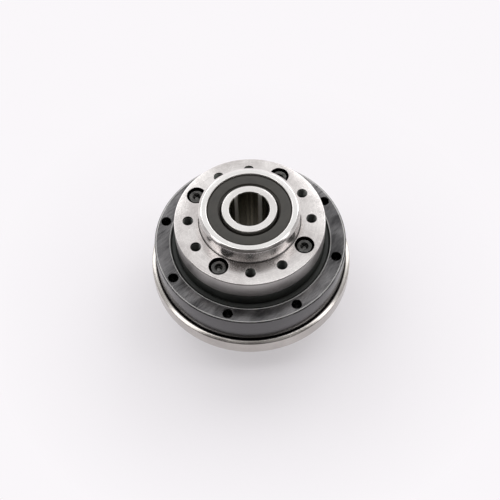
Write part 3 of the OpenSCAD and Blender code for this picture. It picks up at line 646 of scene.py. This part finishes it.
# %% A socket that can be added and multiplied
class Wire:
    """An output socket of one finish. Arithmetic on it adds Math nodes."""

    def __init__(self, finish, socket):
        self.finish = finish
        self.socket = socket

    def math(self, operation, first, second=0.0):
        return self.finish.node("Math", {"operation": operation}, {0: first, 1: second})

    def clamped(self):
        return self.finish.node("Clamp", {}, {"Value": self})

    def __add__(self, other):
        return self.math("ADD", self, other)

    def __sub__(self, other):
        return self.math("SUBTRACT", self, other)

    def __rsub__(self, other):
        return self.math("SUBTRACT", other, self)

    def __mul__(self, other):
        return self.math("MULTIPLY", self, other)

    def __truediv__(self, other):
        return self.math("DIVIDE", self, other)

    __radd__ = __add__
    __rmul__ = __mul__


print("sockets can take part in sums")

# %% A material that is built node by node
def rgb(*values):
    return (*values, 1.0)


class Finish:
    """A material, or the world, that is built up node by node."""

    def __init__(self, name, owner=None):
        self.material = owner or bpy.data.materials.new(name)
        self.material.use_nodes = True
        self.tree = self.material.node_tree
        self.tree.nodes.clear()

    def node(self, kind, settings=None, feeds=None, out=0):
        """Adds one node: its settings, then the values or wires of its sockets."""
        made = self.tree.nodes.new("ShaderNode" + kind)
        for key, value in (settings or {}).items():
            if key == "stops":
                while len(made.color_ramp.elements) < len(value):
                    made.color_ramp.elements.new(0.5)
                for element, (place, shade) in zip(made.color_ramp.elements, value):
                    element.position = place
                    element.color = (shade, shade, shade, 1)
            else:
                setattr(made, key, value)
        for key, value in (feeds or {}).items():
            socket = made.inputs[key]
            if isinstance(value, Wire):
                self.tree.links.new(value.socket, socket)
            else:
                socket.default_value = value
        return Wire(self, made.outputs[out]) if made.outputs else None

    def vector(self, operation, *sides):
        """Vector arithmetic. A length or a dot product comes out as a plain number."""
        number = operation in ("LENGTH", "DOT_PRODUCT")
        return self.node(
            "VectorMath", {"operation": operation}, dict(enumerate(sides)), out=int(number)
        )

    def part(self, vector, axis):
        """The x, y or z of a vector, for axis 0, 1 or 2."""
        return self.node("SeparateXYZ", {}, {0: vector}, out=axis)

    def noise(self, where, scale, detail=2.0, roughness=0.5):
        return self.node("TexNoise", {}, {
            "Vector": where, "Scale": scale, "Detail": detail, "Roughness": roughness,
        })

    def ramp(self, value, stops):
        return self.node("ValToRGB", {"stops": stops}, {"Fac": value})

    def mix(self, amount, first, second):
        """Two colours mixed by a mask."""
        return self.node("Mix", {"data_type": "RGBA"}, {0: amount, 6: first, 7: second}, out=2)

    def stretched(self, where, scale, turn=0.0):
        """Coordinates turned about Z and then stretched, for streaks along one direction."""
        return self.node("Mapping", {"vector_type": "TEXTURE"}, {
            "Vector": where, "Rotation": (0, 0, math.radians(turn)), "Scale": scale,
        })

    def bump(self, strength, depth, height):
        return self.node("Bump", {}, {"Strength": strength, "Distance": depth, "Height": height})

    def surface(self, **feeds):
        """Ends the material in a Principled shader with these inputs."""
        named = {key.replace("_", " "): value for key, value in feeds.items()}
        shader = self.node("BsdfPrincipled", {}, named)
        self.node("OutputMaterial", {}, {"Surface": shader})
        return self.material


print("materials are built by the class", Finish.__name__)

# %% [markdown]
# ## Where the tool has been
#
# Tool marks on a turned piece follow its own axis: rings on a flat face, hoops on a side. A noise
# on plain coordinates would look like cast metal. So the pattern is read at (radius, height, a
# little of the angle). Noise on those three numbers gives fine hoops that wander a little on the
# way round, the way a worn tool or a grinding wheel leaves them.

# %% Coordinates of a turned piece
STRAIGHT = [(0.0, 0.0), (1.0, 1.0)]


def lathe_marks(finish, spread=1.5):
    """Object coordinates in mm, and the same place as (radius, height, angle)."""
    where = finish.node("TexCoord", {}, {}, out=3)
    place = finish.node("VectorMath", {"operation": "SCALE"}, {0: where, "Scale": 1 / MM})
    x, y, z = (finish.part(place, axis) for axis in range(3))
    flat = finish.node("CombineXYZ", {}, {0: x, 1: y, 2: 0.0})
    radius = finish.vector("LENGTH", flat)
    # the direction on the circle, not its angle, so that there is no seam at the back
    around = finish.vector("NORMALIZE", flat)
    around_x, around_y = finish.part(around, 0), finish.part(around, 1)
    hoops = finish.node("CombineXYZ", {}, {
        0: radius + around_x * spread, 1: z + around_y * spread, 2: radius - z,
    })
    return place, hoops


def round_place(finish, place):
    """The distance from the axis and the height of each point, in mm."""
    flat = finish.vector("MULTIPLY", place, (1, 1, 0))
    return finish.vector("LENGTH", flat), finish.part(place, 2)


def band(value, low, high, soft):
    """1 where a value lies between low and high, with soft ends."""
    rise = (value - (low - soft)) / soft
    fall = ((high + soft) - value) / soft
    return rise.math("MINIMUM", rise, fall).clamped()


print("turned coordinates ready")

# %% [markdown]
# ## Scratches, and painted shade and highlights in holes
#
# Two things lie over the tool marks. Handling leaves stray straight scratches, which are a noise
# stretched along a line and cut down to its peaks. In drilled holes and grooves a dark film that
# runs down in streaks is painted in as shade, and pale lines down the shaft's bore are painted
# highlights. Both could be painted by hand on an unwrapped mesh, but read from coordinates they
# need no seams.

# %% Scratches and the painted shade in holes
SCRATCH_TURNS = (24, 75, 140)
SCRATCH_LENGTH = 4.0
BORE_HIGHLIGHT = rgb(0.92, 0.90, 0.86)


def scratches(finish, place, amount):
    """Thin straight scratches in a few directions, from 0 to 1."""
    total = None
    for number, turn in enumerate(SCRATCH_TURNS):
        shape = (SCRATCH_LENGTH, 0.16 - 0.02 * number, 1.5)
        lines = finish.noise(finish.stretched(place, shape, turn), 1.0, 2.0, 0.6)
        thin = finish.ramp(lines, [(amount, 0.0), (amount + 0.08, 1.0)])
        total = thin if total is None else total.math("MAXIMUM", total, thin)
    return total


def painted_shade_film(finish, place, base, gloss, zone, colour, highlight_tracks):
    """Paints a dark streaked film, as shade, between the radii and heights of a zone.

    highlight_tracks holds the directions from the axis in which pale lines are painted down a
    bore, as painted highlights.
    """
    radius, height = round_place(finish, place)
    # Painted shade: a dark film, streaked like running oil, over the zone.
    film = band(radius, zone[0], zone[1], 0.05) * band(height, zone[2], zone[3], 0.05)
    runs = finish.noise(finish.stretched(place, (1.6, 1.6, 90.0)), 1.0, 2.0, 0.6)
    deep_shade = rgb(*(part * 0.5 for part in colour))
    streaked = finish.mix(((runs - 0.44) * 5.0).clamped(), deep_shade, rgb(*colour))
    base = finish.mix(film, base, streaked)
    gloss = film * 0.06 + gloss
    if highlight_tracks:
        outward = finish.vector("NORMALIZE", finish.vector("MULTIPLY", place, (1, 1, 0)))
    # Painted highlights: pale lines down the bore in the given directions.
    for way in highlight_tracks:
        line = ((finish.vector("DOT_PRODUCT", outward, way) - 0.989) * 150.0).clamped() * film
        base = finish.mix(line, base, BORE_HIGHLIGHT)
        gloss = line * 0.3 + gloss
    return base, gloss


print("scratches and oil ready")

# %% [markdown]
# ## Turned metal
#
# One recipe serves every turned metal, because the same lathe and the same hands left the same
# marks on all of them. What differs is given by name: the colours, how rough the metal is, and
# how much of each mark it has. The anisotropy is turned a quarter, so that highlights spread
# across the grooves, as they do on real turned steel.

# %% The recipe for a machined metal
QUARTER_TURN = 0.25
TOOL_MARK_DEPTH = 0.00004
SHADED_SIDE = rgb(0.1, 0.095, 0.09)
BRIGHT_LAND_COLOUR = rgb(0.99, 0.975, 0.96)


def machined(
    name, colour, dark, rough, rings=0.25, cloud=0.3, spin_gloss=0.6, scratch=0.3,
    amount=0.62, patch=0.09, bump=0.12, shade_zone=None,
    shade_colour=(0.02, 0.019, 0.018), highlight_tracks=(), sides=(), face=None, land=None,
):
    """A turned or ground metal: fine hoops, wiped clouds and stray scratches.

    shade_zone holds the lowest and highest radius and height of holes and grooves, which get a
    dark streaked film as painted shade. sides holds, for each turned side, the radii it lies
    between, how much darker it is painted as shade and how much rougher it is. face holds the
    height of a flat face and how much rougher it is than the rest. land holds the height above
    which a rim is painted brighter.
    """
    finish = Finish(name)
    place, hoops = lathe_marks(finish)
    radius, height = round_place(finish, place)
    fine = finish.noise(hoops, 9.0, 3.0, 0.7)
    broad_hoops = finish.noise(hoops, 2.2, 2.0, 0.5)
    clouds = finish.noise(place, patch, 4.0, 0.6)
    worn = scratches(finish, place, amount)
    tone = (broad_hoops - 0.5) * rings + (clouds - 0.5) * cloud * 3 + worn * scratch + 0.5
    base = finish.mix(finish.ramp(tone, STRAIGHT), rgb(*dark), rgb(*colour))
    gloss = (fine - 0.5) * 0.05 + (clouds - 0.5) * 0.1 + worn * 0.04 + rough
    if shade_zone:
        base, gloss = painted_shade_film(finish, place, base, gloss, shade_zone, shade_colour, highlight_tracks)
    # Painted shade: each listed side is mixed towards a dark colour, and it is made rougher.
    for low, high, side_shade, rougher in sides:
        outer = band(radius, low, high, 0.04)
        base = finish.mix(outer * side_shade, base, SHADED_SIDE)
        gloss = outer * rougher + gloss
    if face:
        gloss = band(height, face[0] - 0.03, face[0] + 0.03, 0.02) * face[1] + gloss
    if land:
        # The land is painted brighter, mixed three quarters of the way to a near white.
        land_brightening = ((height - land) * 30.0).clamped() * 0.75
        base = finish.mix(land_brightening, base, BRIGHT_LAND_COLOUR)
    marks = fine * 0.6 + broad_hoops * 0.4 + worn * 0.4
    return finish.surface(
        Base_Color=base, Metallic=1.0, Roughness=gloss, Anisotropic=spin_gloss,
        Anisotropic_Rotation=QUARTER_TURN, Normal=finish.bump(bump, TOOL_MARK_DEPTH, marks),
    )


print("machined metal ready")

# %% [markdown]
# ## The metals
#
# All but one of the metals are steel, and the steels differ by what was done last. The flange,
# the lip and the shaft were ground and are nearly white. The gear ring and the screws are
# blackened: a thin oxide that still shines a little where it is oiled. The races and rollers
# inside are polished, and the support bearings' cages are brass. One plain grey metal would make
# all of them look alike.

# %% Finishes of the bright steels
finishes = {
    "ground_steel": machined(
        "Ground_bright_steel", (0.92, 0.885, 0.87), (0.65, 0.61, 0.60), 0.17,
        rings=0.7, cloud=0.9, scratch=0.55, bump=0.09,
        # The tapped holes, the counterbores and the undercut at the boss's foot get painted shade.
        shade_zone=(18.1, 25.9, 30.0, FLANGE_TOP - 0.12),
        # The flange's outer side and the boss's side are painted darker, as shade.
        sides=((26.94, 30.0, 0.5, 0.14), (BOSS_R - 0.06, BOSS_R + 0.1, 0.34, 0.1)),
        # land: the boss's top rim is painted brighter.
        face=(FLANGE_TOP, 0.04), land=boss_top - 0.06,
    ),
    "housing_steel": machined(
        "Turned_bright_housing", (0.63, 0.60, 0.57), (0.43, 0.40, 0.38), 0.19,
        rings=0.5, cloud=0.5, bump=0.06,
        # The relief groove, the mount holes and the screw bores get painted shade.
        shade_zone=(29.0, ring_r + 0.36, LIP_Z + 0.1, rim_z - 0.05),
    ),
    "shaft_steel": machined(
        "Ground_shaft_steel", (0.97, 0.945, 0.93), (0.82, 0.79, 0.775), 0.15,
        rings=0.5, cloud=0.6, spin_gloss=0.5, scratch=0.4, bump=0.05,
        # The bore is painted darker as shade, with two pale lines at its back as painted
        # highlights.
        shade_zone=(0.0, BORE_R + 0.22, 0.5, shaft_top - 0.08), shade_colour=(0.44, 0.42, 0.36),
        highlight_tracks=((-0.456, 0.890, 0), (0.745, 0.667, 0)),
    ),
}
print("bright steels:", sorted(finishes))

# %% Finishes of the black steels
finishes |= {
    "black_steel": machined(
        "Black_oxide_steel", (0.16, 0.168, 0.16), (0.10, 0.106, 0.10), 0.36,
        rings=0.4, cloud=0.5, spin_gloss=0.4, scratch=0.1,
    ),
    "screw_steel": machined(
        "Blackened_screw_steel", (0.14, 0.137, 0.132), (0.035, 0.035, 0.034), 0.22,
        rings=0.2, cloud=0.6, spin_gloss=0.0, scratch=0.5, amount=0.58, patch=0.6,
    ),
}
print("with the black steels:", sorted(finishes))

# %% Finishes of the hidden metals
finishes |= {
    "bearing_steel": machined(
        "Polished_bearing_steel", (0.66, 0.66, 0.67), (0.52, 0.52, 0.53), 0.14,
        rings=0.2, cloud=0.2, spin_gloss=0.3, scratch=0.1,
    ),
    "flexspline_steel": machined(
        "Fine_turned_flexspline", (0.58, 0.575, 0.57), (0.42, 0.415, 0.41), 0.26,
        rings=0.5, cloud=0.2, scratch=0.1,
    ),
    "cage_brass": machined(
        "Stamped_cage_brass", (0.70, 0.50, 0.22), (0.48, 0.32, 0.13), 0.32,
        rings=0.2, cloud=0.5, spin_gloss=0.2, scratch=0.2,
    ),
}
print("metals so far:", len(finishes))

# %% [markdown]
# ## The skin of the bearing ring
#
# Hardening leaves a dark skin. On the ring's top face it was rubbed off by hand in two
# directions, more in some places than in others, so the face is patchy, with fine straight
# streaks. Besides, two places round it are painted lighter as highlights and a third darker. The
# side was ground in a machine and is even, but it is painted darker towards its foot, as shade.
# Every edge is worn to bare steel, because an edge is what other things touch first, and the worn
# bands are also painted highlight lines. The holes and the seam are painted black as shade. These
# could be three materials, but their borders would be hard. One material tells the places apart
# by their radius and height.

# %% The rubbed top of the ring
PAINTED_LIGHT_PLACES = (
    ((0.46, -0.76, 0.46), 0.36), ((-0.88, 0.02, 0.47), 0.34), ((0.79, -0.35, 0.50), -0.36),
)


def rubbed_skin_and_painted_light(finish, place):
    """How far the skin is rubbed off, with clouds and streaks and painted light at three places."""
    clouds = finish.noise(finish.stretched(place, (10.0, 5.0, 5.0), 24), 1.0, 3.0, 0.55)
    rubbed = finish.noise(finish.stretched(place, (7.0, 0.3, 1.0), 24), 1.0, 3.0, 0.6)
    crossed = finish.noise(finish.stretched(place, (5.0, 0.25, 1.0), 44), 1.0, 2.0, 0.6)
    patchy = (clouds - 0.5) * 2.2 + (rubbed - 0.5) * 2.2 + (crossed - 0.5) * 1.4 + 0.46
    outward = finish.vector("NORMALIZE", place)
    # Painted light: two places are painted lighter as highlights, and one is painted darker.
    for way, change in PAINTED_LIGHT_PLACES:
        toward = finish.vector("DOT_PRODUCT", outward, way)
        patchy = ((toward - 0.86) * 6.0).clamped() * change + patchy
    return patchy, clouds, rubbed


# The places counted here are painted light: two highlights and one darker place.
print("places rubbed by hand:", len(PAINTED_LIGHT_PLACES))

# %% The bearing ring's finish
RING_MARK_DEPTH = 0.00003
SKIN_BLACK, SKIN_GREY = rgb(0.055, 0.054, 0.056), rgb(0.245, 0.238, 0.243)
BARE_STEEL_HIGHLIGHT = rgb(0.62, 0.61, 0.60)
PAINTED_SHADE_BLACK = rgb(0.008, 0.008, 0.008)


def ring_skin(name):
    """Hardened steel: a rubbed, patchy top with painted light, a side painted darker towards its
    foot as shade, bare edges that are also painted highlights, and black painted shade in the
    holes and the seam.
    """
    finish = Finish(name)
    place, hoops = lathe_marks(finish)
    radius, height = round_place(finish, place)
    top = ((height - (ring_top - 0.6)) * 4.0).clamped()
    # The bands at the top's inner and outer edges are worn steel, and they are also painted
    # highlight lines: pale and less metallic.
    inner = band(radius, SEAT_R + 0.42, SEAT_R + 0.72, 0.06)
    outer = band(radius, ring_r - 0.72, ring_r - 0.42, 0.06)
    worn = inner.math("MAXIMUM", inner, outer) * ((height - (ring_top - 0.32)) * 8.0).clamped()
    patchy, clouds, rubbed = rubbed_skin_and_painted_light(finish, place)
    fine = finish.noise(hoops, 6.0, 3.0, 0.6)
    # Painted shade: the side is painted darker towards the seam at its foot.
    foot = ((height - SEAM_TOP) * 0.35).clamped()
    even = (fine - 0.5) * 0.3 + 0.22 + foot * 0.12
    tone = finish.ramp(top * patchy + (1 - top) * even, STRAIGHT)
    skin = finish.mix(tone, SKIN_BLACK, SKIN_GREY)
    base = finish.mix(worn * (rubbed * 0.6 + 0.4), skin, BARE_STEEL_HIGHLIGHT)
    # Painted shade: the holes and everything below the seam are painted black.
    holes = band(radius, 29.9, 34.1, 0.1) * band(height, ring_low, ring_top - 0.14, 0.04)
    seam = band(height, 0.0, SEAM_TOP + 0.02, 0.05)
    base = finish.mix(holes.math("MAXIMUM", holes, seam), base, PAINTED_SHADE_BLACK)
    shine = top * ((clouds - 0.5) * 0.12 + (rubbed - 0.5) * 0.1) + (fine - 0.5) * 0.05 + 0.19
    relief = finish.bump(0.1, RING_MARK_DEPTH, top * rubbed + fine * 0.5)
    return finish.surface(
        Base_Color=base, Metallic=1 - worn * 0.7 - top * 0.25, Roughness=shine + worn * 0.22,
        Anisotropic=0.6, Anisotropic_Rotation=QUARTER_TURN, Normal=relief,
    )


finishes["dark_steel"] = ring_skin("Hardened_dark_steel")
print("metals:", sorted(finishes))

# %% [markdown]
# ## Rubber and plastic
#
# The seals are nitrile rubber on a steel ring. It is matt, brown-black rather than black, and
# takes a film of dust and oil. The flexible bearing's cage and the spacers are nylon, with the
# faint orange peel of the mould. One flat colour would look like paint, so a broad noise lays
# the dust and a fine one the grain.

# %% Soft finishes
MOULD_GRAIN = 14.0
MOULD_DEPTH = 0.00002


def moulded(name, colour, dark, rough):
    """Rubber or plastic with a fine moulded grain and a film of dust."""
    finish = Finish(name)
    place, hoops = lathe_marks(finish, 0.6)
    skin = finish.noise(place, MOULD_GRAIN, 3.0, 0.6)
    film = finish.noise(place, 0.35, 3.0, 0.55)
    lines = finish.noise(hoops, 3.0, 2.0, 0.5)
    tone = (film - 0.5) * 0.9 + (lines - 0.5) * 0.4 + (skin - 0.5) * 0.25 + 0.5
    base = finish.mix(finish.ramp(tone, [(0.1, 0.0), (0.9, 1.0)]), rgb(*dark), rgb(*colour))
    gloss = (film - 0.5) * 0.25 + (skin - 0.5) * 0.1 + rough
    relief = finish.bump(0.3, MOULD_DEPTH, skin + lines * 0.5)
    return finish.surface(Base_Color=base, Metallic=0.0, Roughness=gloss, Normal=relief)


for slot, *recipe in (
    ("seal_rubber", "Nitrile_rubber", (0.053, 0.048, 0.041), (0.024, 0.022, 0.019), 0.5),
    ("oiled_rubber", "Oiled_black_rubber", (0.028, 0.031, 0.028), (0.016, 0.018, 0.016), 0.6),
    ("cage_plastic", "Moulded_cage_nylon", (0.62, 0.52, 0.30), (0.50, 0.41, 0.22), 0.42),
    ("spacer_plastic", "Moulded_spacer_nylon", (0.74, 0.68, 0.52), (0.62, 0.56, 0.42), 0.45),
):
    finishes[slot] = moulded(*recipe)
print("all finishes:", sorted(finishes))

# %% [markdown]
# ## Painting
#
# Each CAD node and each new piece names a slot, and the slot names its finish. Two pieces differ
# from the others of their slot. The housing's steel was turned coarser than the flange's. The
# large seal runs in oil, so its rubber is blacker than that of the dusty shaft seals.

# %% Give every CAD node and every new piece its finish
def paint(thing, finish):
    """Puts a finish on an object in place of what it had."""
    if not thing.material_slots:
        thing.data.materials.append(finish)
    for place in thing.material_slots:
        place.material = finish


slots = {part["node"]: part["material_slot"] for part in frame["record"]["subparts"]}
for node, thing in frame["nodes"].items():
    paint(thing, finishes[slots[node]])
new_pieces = [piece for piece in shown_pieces() if "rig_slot" in piece]
for piece in new_pieces:
    paint(piece, finishes[piece["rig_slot"]])
paint(bpy.data.objects["input_housing_turned"], finishes["housing_steel"])
paint(bpy.data.objects["output_seal_moulded"], finishes["oiled_rubber"])
print("painted", len(slots), "CAD nodes and", len(new_pieces), "new pieces")

# %% [markdown]
# ## The table
#
# The unit stands on a wide pale table. A white world behind it would do for a backdrop, but then
# there would be no shadow. So the table is a real surface that also shows a pale level of its
# own. Near the object that is less than half of it, so the shadow lies there. Further out it is
# all of it, and it fades to white. From below the table can be seen through.

# %% The table
TABLE_HALF = 3.0
table_work = bmesh.new()
bmesh.ops.create_grid(table_work, x_segments=1, y_segments=1, size=TABLE_HALF)
table = plain_object(table_work, "table")
table_finish = Finish("Pale_table")
table_place = table_finish.node("TexCoord", {}, {}, out=3)
paper = table_finish.noise(table_place, 30.0, 3.0, 0.6)
table_shader = table_finish.node("BsdfPrincipled", {}, {
    "Base Color": table_finish.mix(paper, rgb(0.925, 0.898, 0.930), rgb(0.945, 0.920, 0.950)),
    "Roughness": 0.75, "Specular IOR Level": 0.2,
})
see_through = table_finish.node("BsdfTransparent")
from_below = table_finish.node("NewGeometry", {}, {}, out=6)
distance = table_finish.vector("LENGTH", table_place)
print("table half width in m:", TABLE_HALF)

# %% How much of the table is seen at its own level
NEAR, NEAR_SHARE = 0.048, 0.43
FAR = 0.2
OWN_LEVEL, FAR_WHITE = rgb(0.955, 0.93, 0.955), rgb(1.0, 1.0, 1.0)
camera_ray, glossy_ray, through_ray = (
    table_finish.node("LightPath", {}, {}, out=f"Is {kind} Ray")
    for kind in ("Camera", "Glossy", "Transmission")
)
share = ((distance - NEAR) * 18.0).clamped() * (1 - NEAR_SHARE) + NEAR_SHARE
seen = (camera_ray + glossy_ray + through_ray).clamped() * share
far = ((distance - FAR) * 1.2).clamped()
pale = table_finish.node("Emission", {}, {
    "Color": table_finish.mix(far, OWN_LEVEL, FAR_WHITE), "Strength": 1.0,
})
top_side = table_finish.node("MixShader", {}, {0: seen, 1: table_shader, 2: pale})
table_mix = table_finish.node("MixShader", {}, {0: from_below, 1: top_side, 2: see_through})
table_finish.node("OutputMaterial", {}, {"Surface": table_mix})
table.data.materials.append(table_finish.material)
print("own level near the object:", NEAR_SHARE)

# %% [markdown]
# ## The room
#
# Polished steel has no colour of its own: it shows the room. An even white room would leave every
# face the same. So the room is pale at the horizon, darker overhead and nearly black behind the
# camera. A side that looks back at the camera goes dark, and one that looks at a lamp goes bright.

# %% The room
ROOM_STEPS = [(0.0, 1.0), (0.2, 0.9), (0.38, 0.62), (0.6, 0.5), (0.85, 0.43)]
TOWARD_CAMERA = (-0.276, -0.961, 0)
world = bpy.data.worlds.new("Studio_room")
bpy.context.scene.world = world
room = Finish("room", world)
room_way = room.node("TexCoord", {}, {}, out=0)
room_tone = room.ramp(room.part(room_way, 2), ROOM_STEPS)
toward_camera = room.vector("DOT_PRODUCT", room_way, TOWARD_CAMERA)
dark_side = ((toward_camera - 0.06) * 6.0).clamped()
room_light = room.node("Background", {}, {
    "Color": room.mix(dark_side * 0.92, room_tone, rgb(0.06, 0.055, 0.052)), "Strength": 1.0,
})
room.node("OutputWorld", {}, {"Surface": room_light})
print("room from horizon to top:", [level for _, level in ROOM_STEPS])

# %% [markdown]
# ## The lamps
#
# Small lamps would leave hard spots on steel, so there are seven soft ones. A wide, dim one high
# behind the object is what the flat tops show. Four narrower, brighter ones, two at the sides and
# two lower behind, are what the lip's cone and the broken edges show. A weak one overhead and one
# beside the camera lift the dark fronts a little. Together with the room they give a white card
# its own colour and no more.

# %% The lamps
LAMP_AIM = Vector((0, 0, 0.03))
# name, azimuth, elevation, distance in m, size in m, brightness in a mirror
LAMPS = (
    ("back_lamp", 75, 53, 0.65, (1.4, 0.9), 0.38),
    ("left_lamp", 174.8, 62, 0.70, (0.217, 0.48), 2.1),
    ("right_lamp", -19.2, 62, 0.70, (0.154, 0.48), 2.4),
    ("top_lamp", -90, 83, 0.72, (0.45, 0.30), 0.6),
    ("back_left_lamp", 113.8, 36, 0.75, (0.52, 0.32), 1.6),
    ("back_right_lamp", 39.8, 36, 0.75, (0.52, 0.32), 2.1),
    ("front_fill_lamp", -72, 58, 0.70, (0.26, 0.20), 0.22),
)


def soft_lamp(name, azimuth, elevation, distance, size, brightness):
    """A rectangular softbox that faces the object. A mirror shows it at this brightness."""
    data = bpy.data.lights.new(name, "AREA")
    data.shape = "RECTANGLE"
    data.size, data.size_y = size
    data.energy = brightness * math.pi * size[0] * size[1]
    lamp = bpy.data.objects.new(name, data)
    sideways = Matrix.Rotation(math.radians(azimuth), 3, "Z")
    upwards = Matrix.Rotation(-math.radians(elevation), 3, "Y")
    place = sideways @ upwards @ Vector((distance, 0, 0))
    lamp.location = place + LAMP_AIM
    lamp.rotation_euler = (-place).to_track_quat("-Z", "Y").to_euler()
    bpy.context.scene.collection.objects.link(lamp)


for lamp in LAMPS:
    soft_lamp(*lamp)
print("lamps:", [lamp[0] for lamp in LAMPS])

# %% [markdown]
# ## The camera
#
# The camera stands 0.4 m from the unit and looks down on it at 58 degrees, a little to the left
# of the front, and it leans by nearly two degrees. A shorter lens from nearer by would bulge the
# circles, so the lens is long. The camera aims near the middle of the unit's height, and a small
# shift moves the unit off the middle of the frame.

# %% The camera
CAMERA_DISTANCE = 0.4
CAMERA_ELEVATION = 57.97
CAMERA_AZIMUTH = -14.2
CAMERA_ROLL = -1.8
LENS = 77.49
SENSOR = 36
AIM_HEIGHT = 25.03
AIM_SHIFT = Vector((-0.213, 0.072, 0))
turn, rise = math.radians(CAMERA_AZIMUTH), math.radians(CAMERA_ELEVATION)
back = Vector((
    math.sin(turn) * math.cos(rise), -math.cos(turn) * math.cos(rise), math.sin(rise)
))
camera_data = bpy.data.cameras.new("camera")
camera_data.lens = LENS
camera_data.sensor_width = SENSOR
camera_data.clip_start, camera_data.clip_end = 0.01, 20
camera = bpy.data.objects.new("camera", camera_data)
level = (-back).to_track_quat("-Z", "Y")
aim = Vector((0, 0, AIM_HEIGHT)) * MM + level @ AIM_SHIFT * MM
camera.location = aim + back * CAMERA_DISTANCE
camera.rotation_euler = (level @ Quaternion((0, 0, 1), math.radians(CAMERA_ROLL))).to_euler()
bpy.context.scene.collection.objects.link(camera)
bpy.context.scene.camera = camera
bpy.context.scene.view_settings.view_transform = "Standard"
print("camera at", [round(v, 4) for v in camera.location])
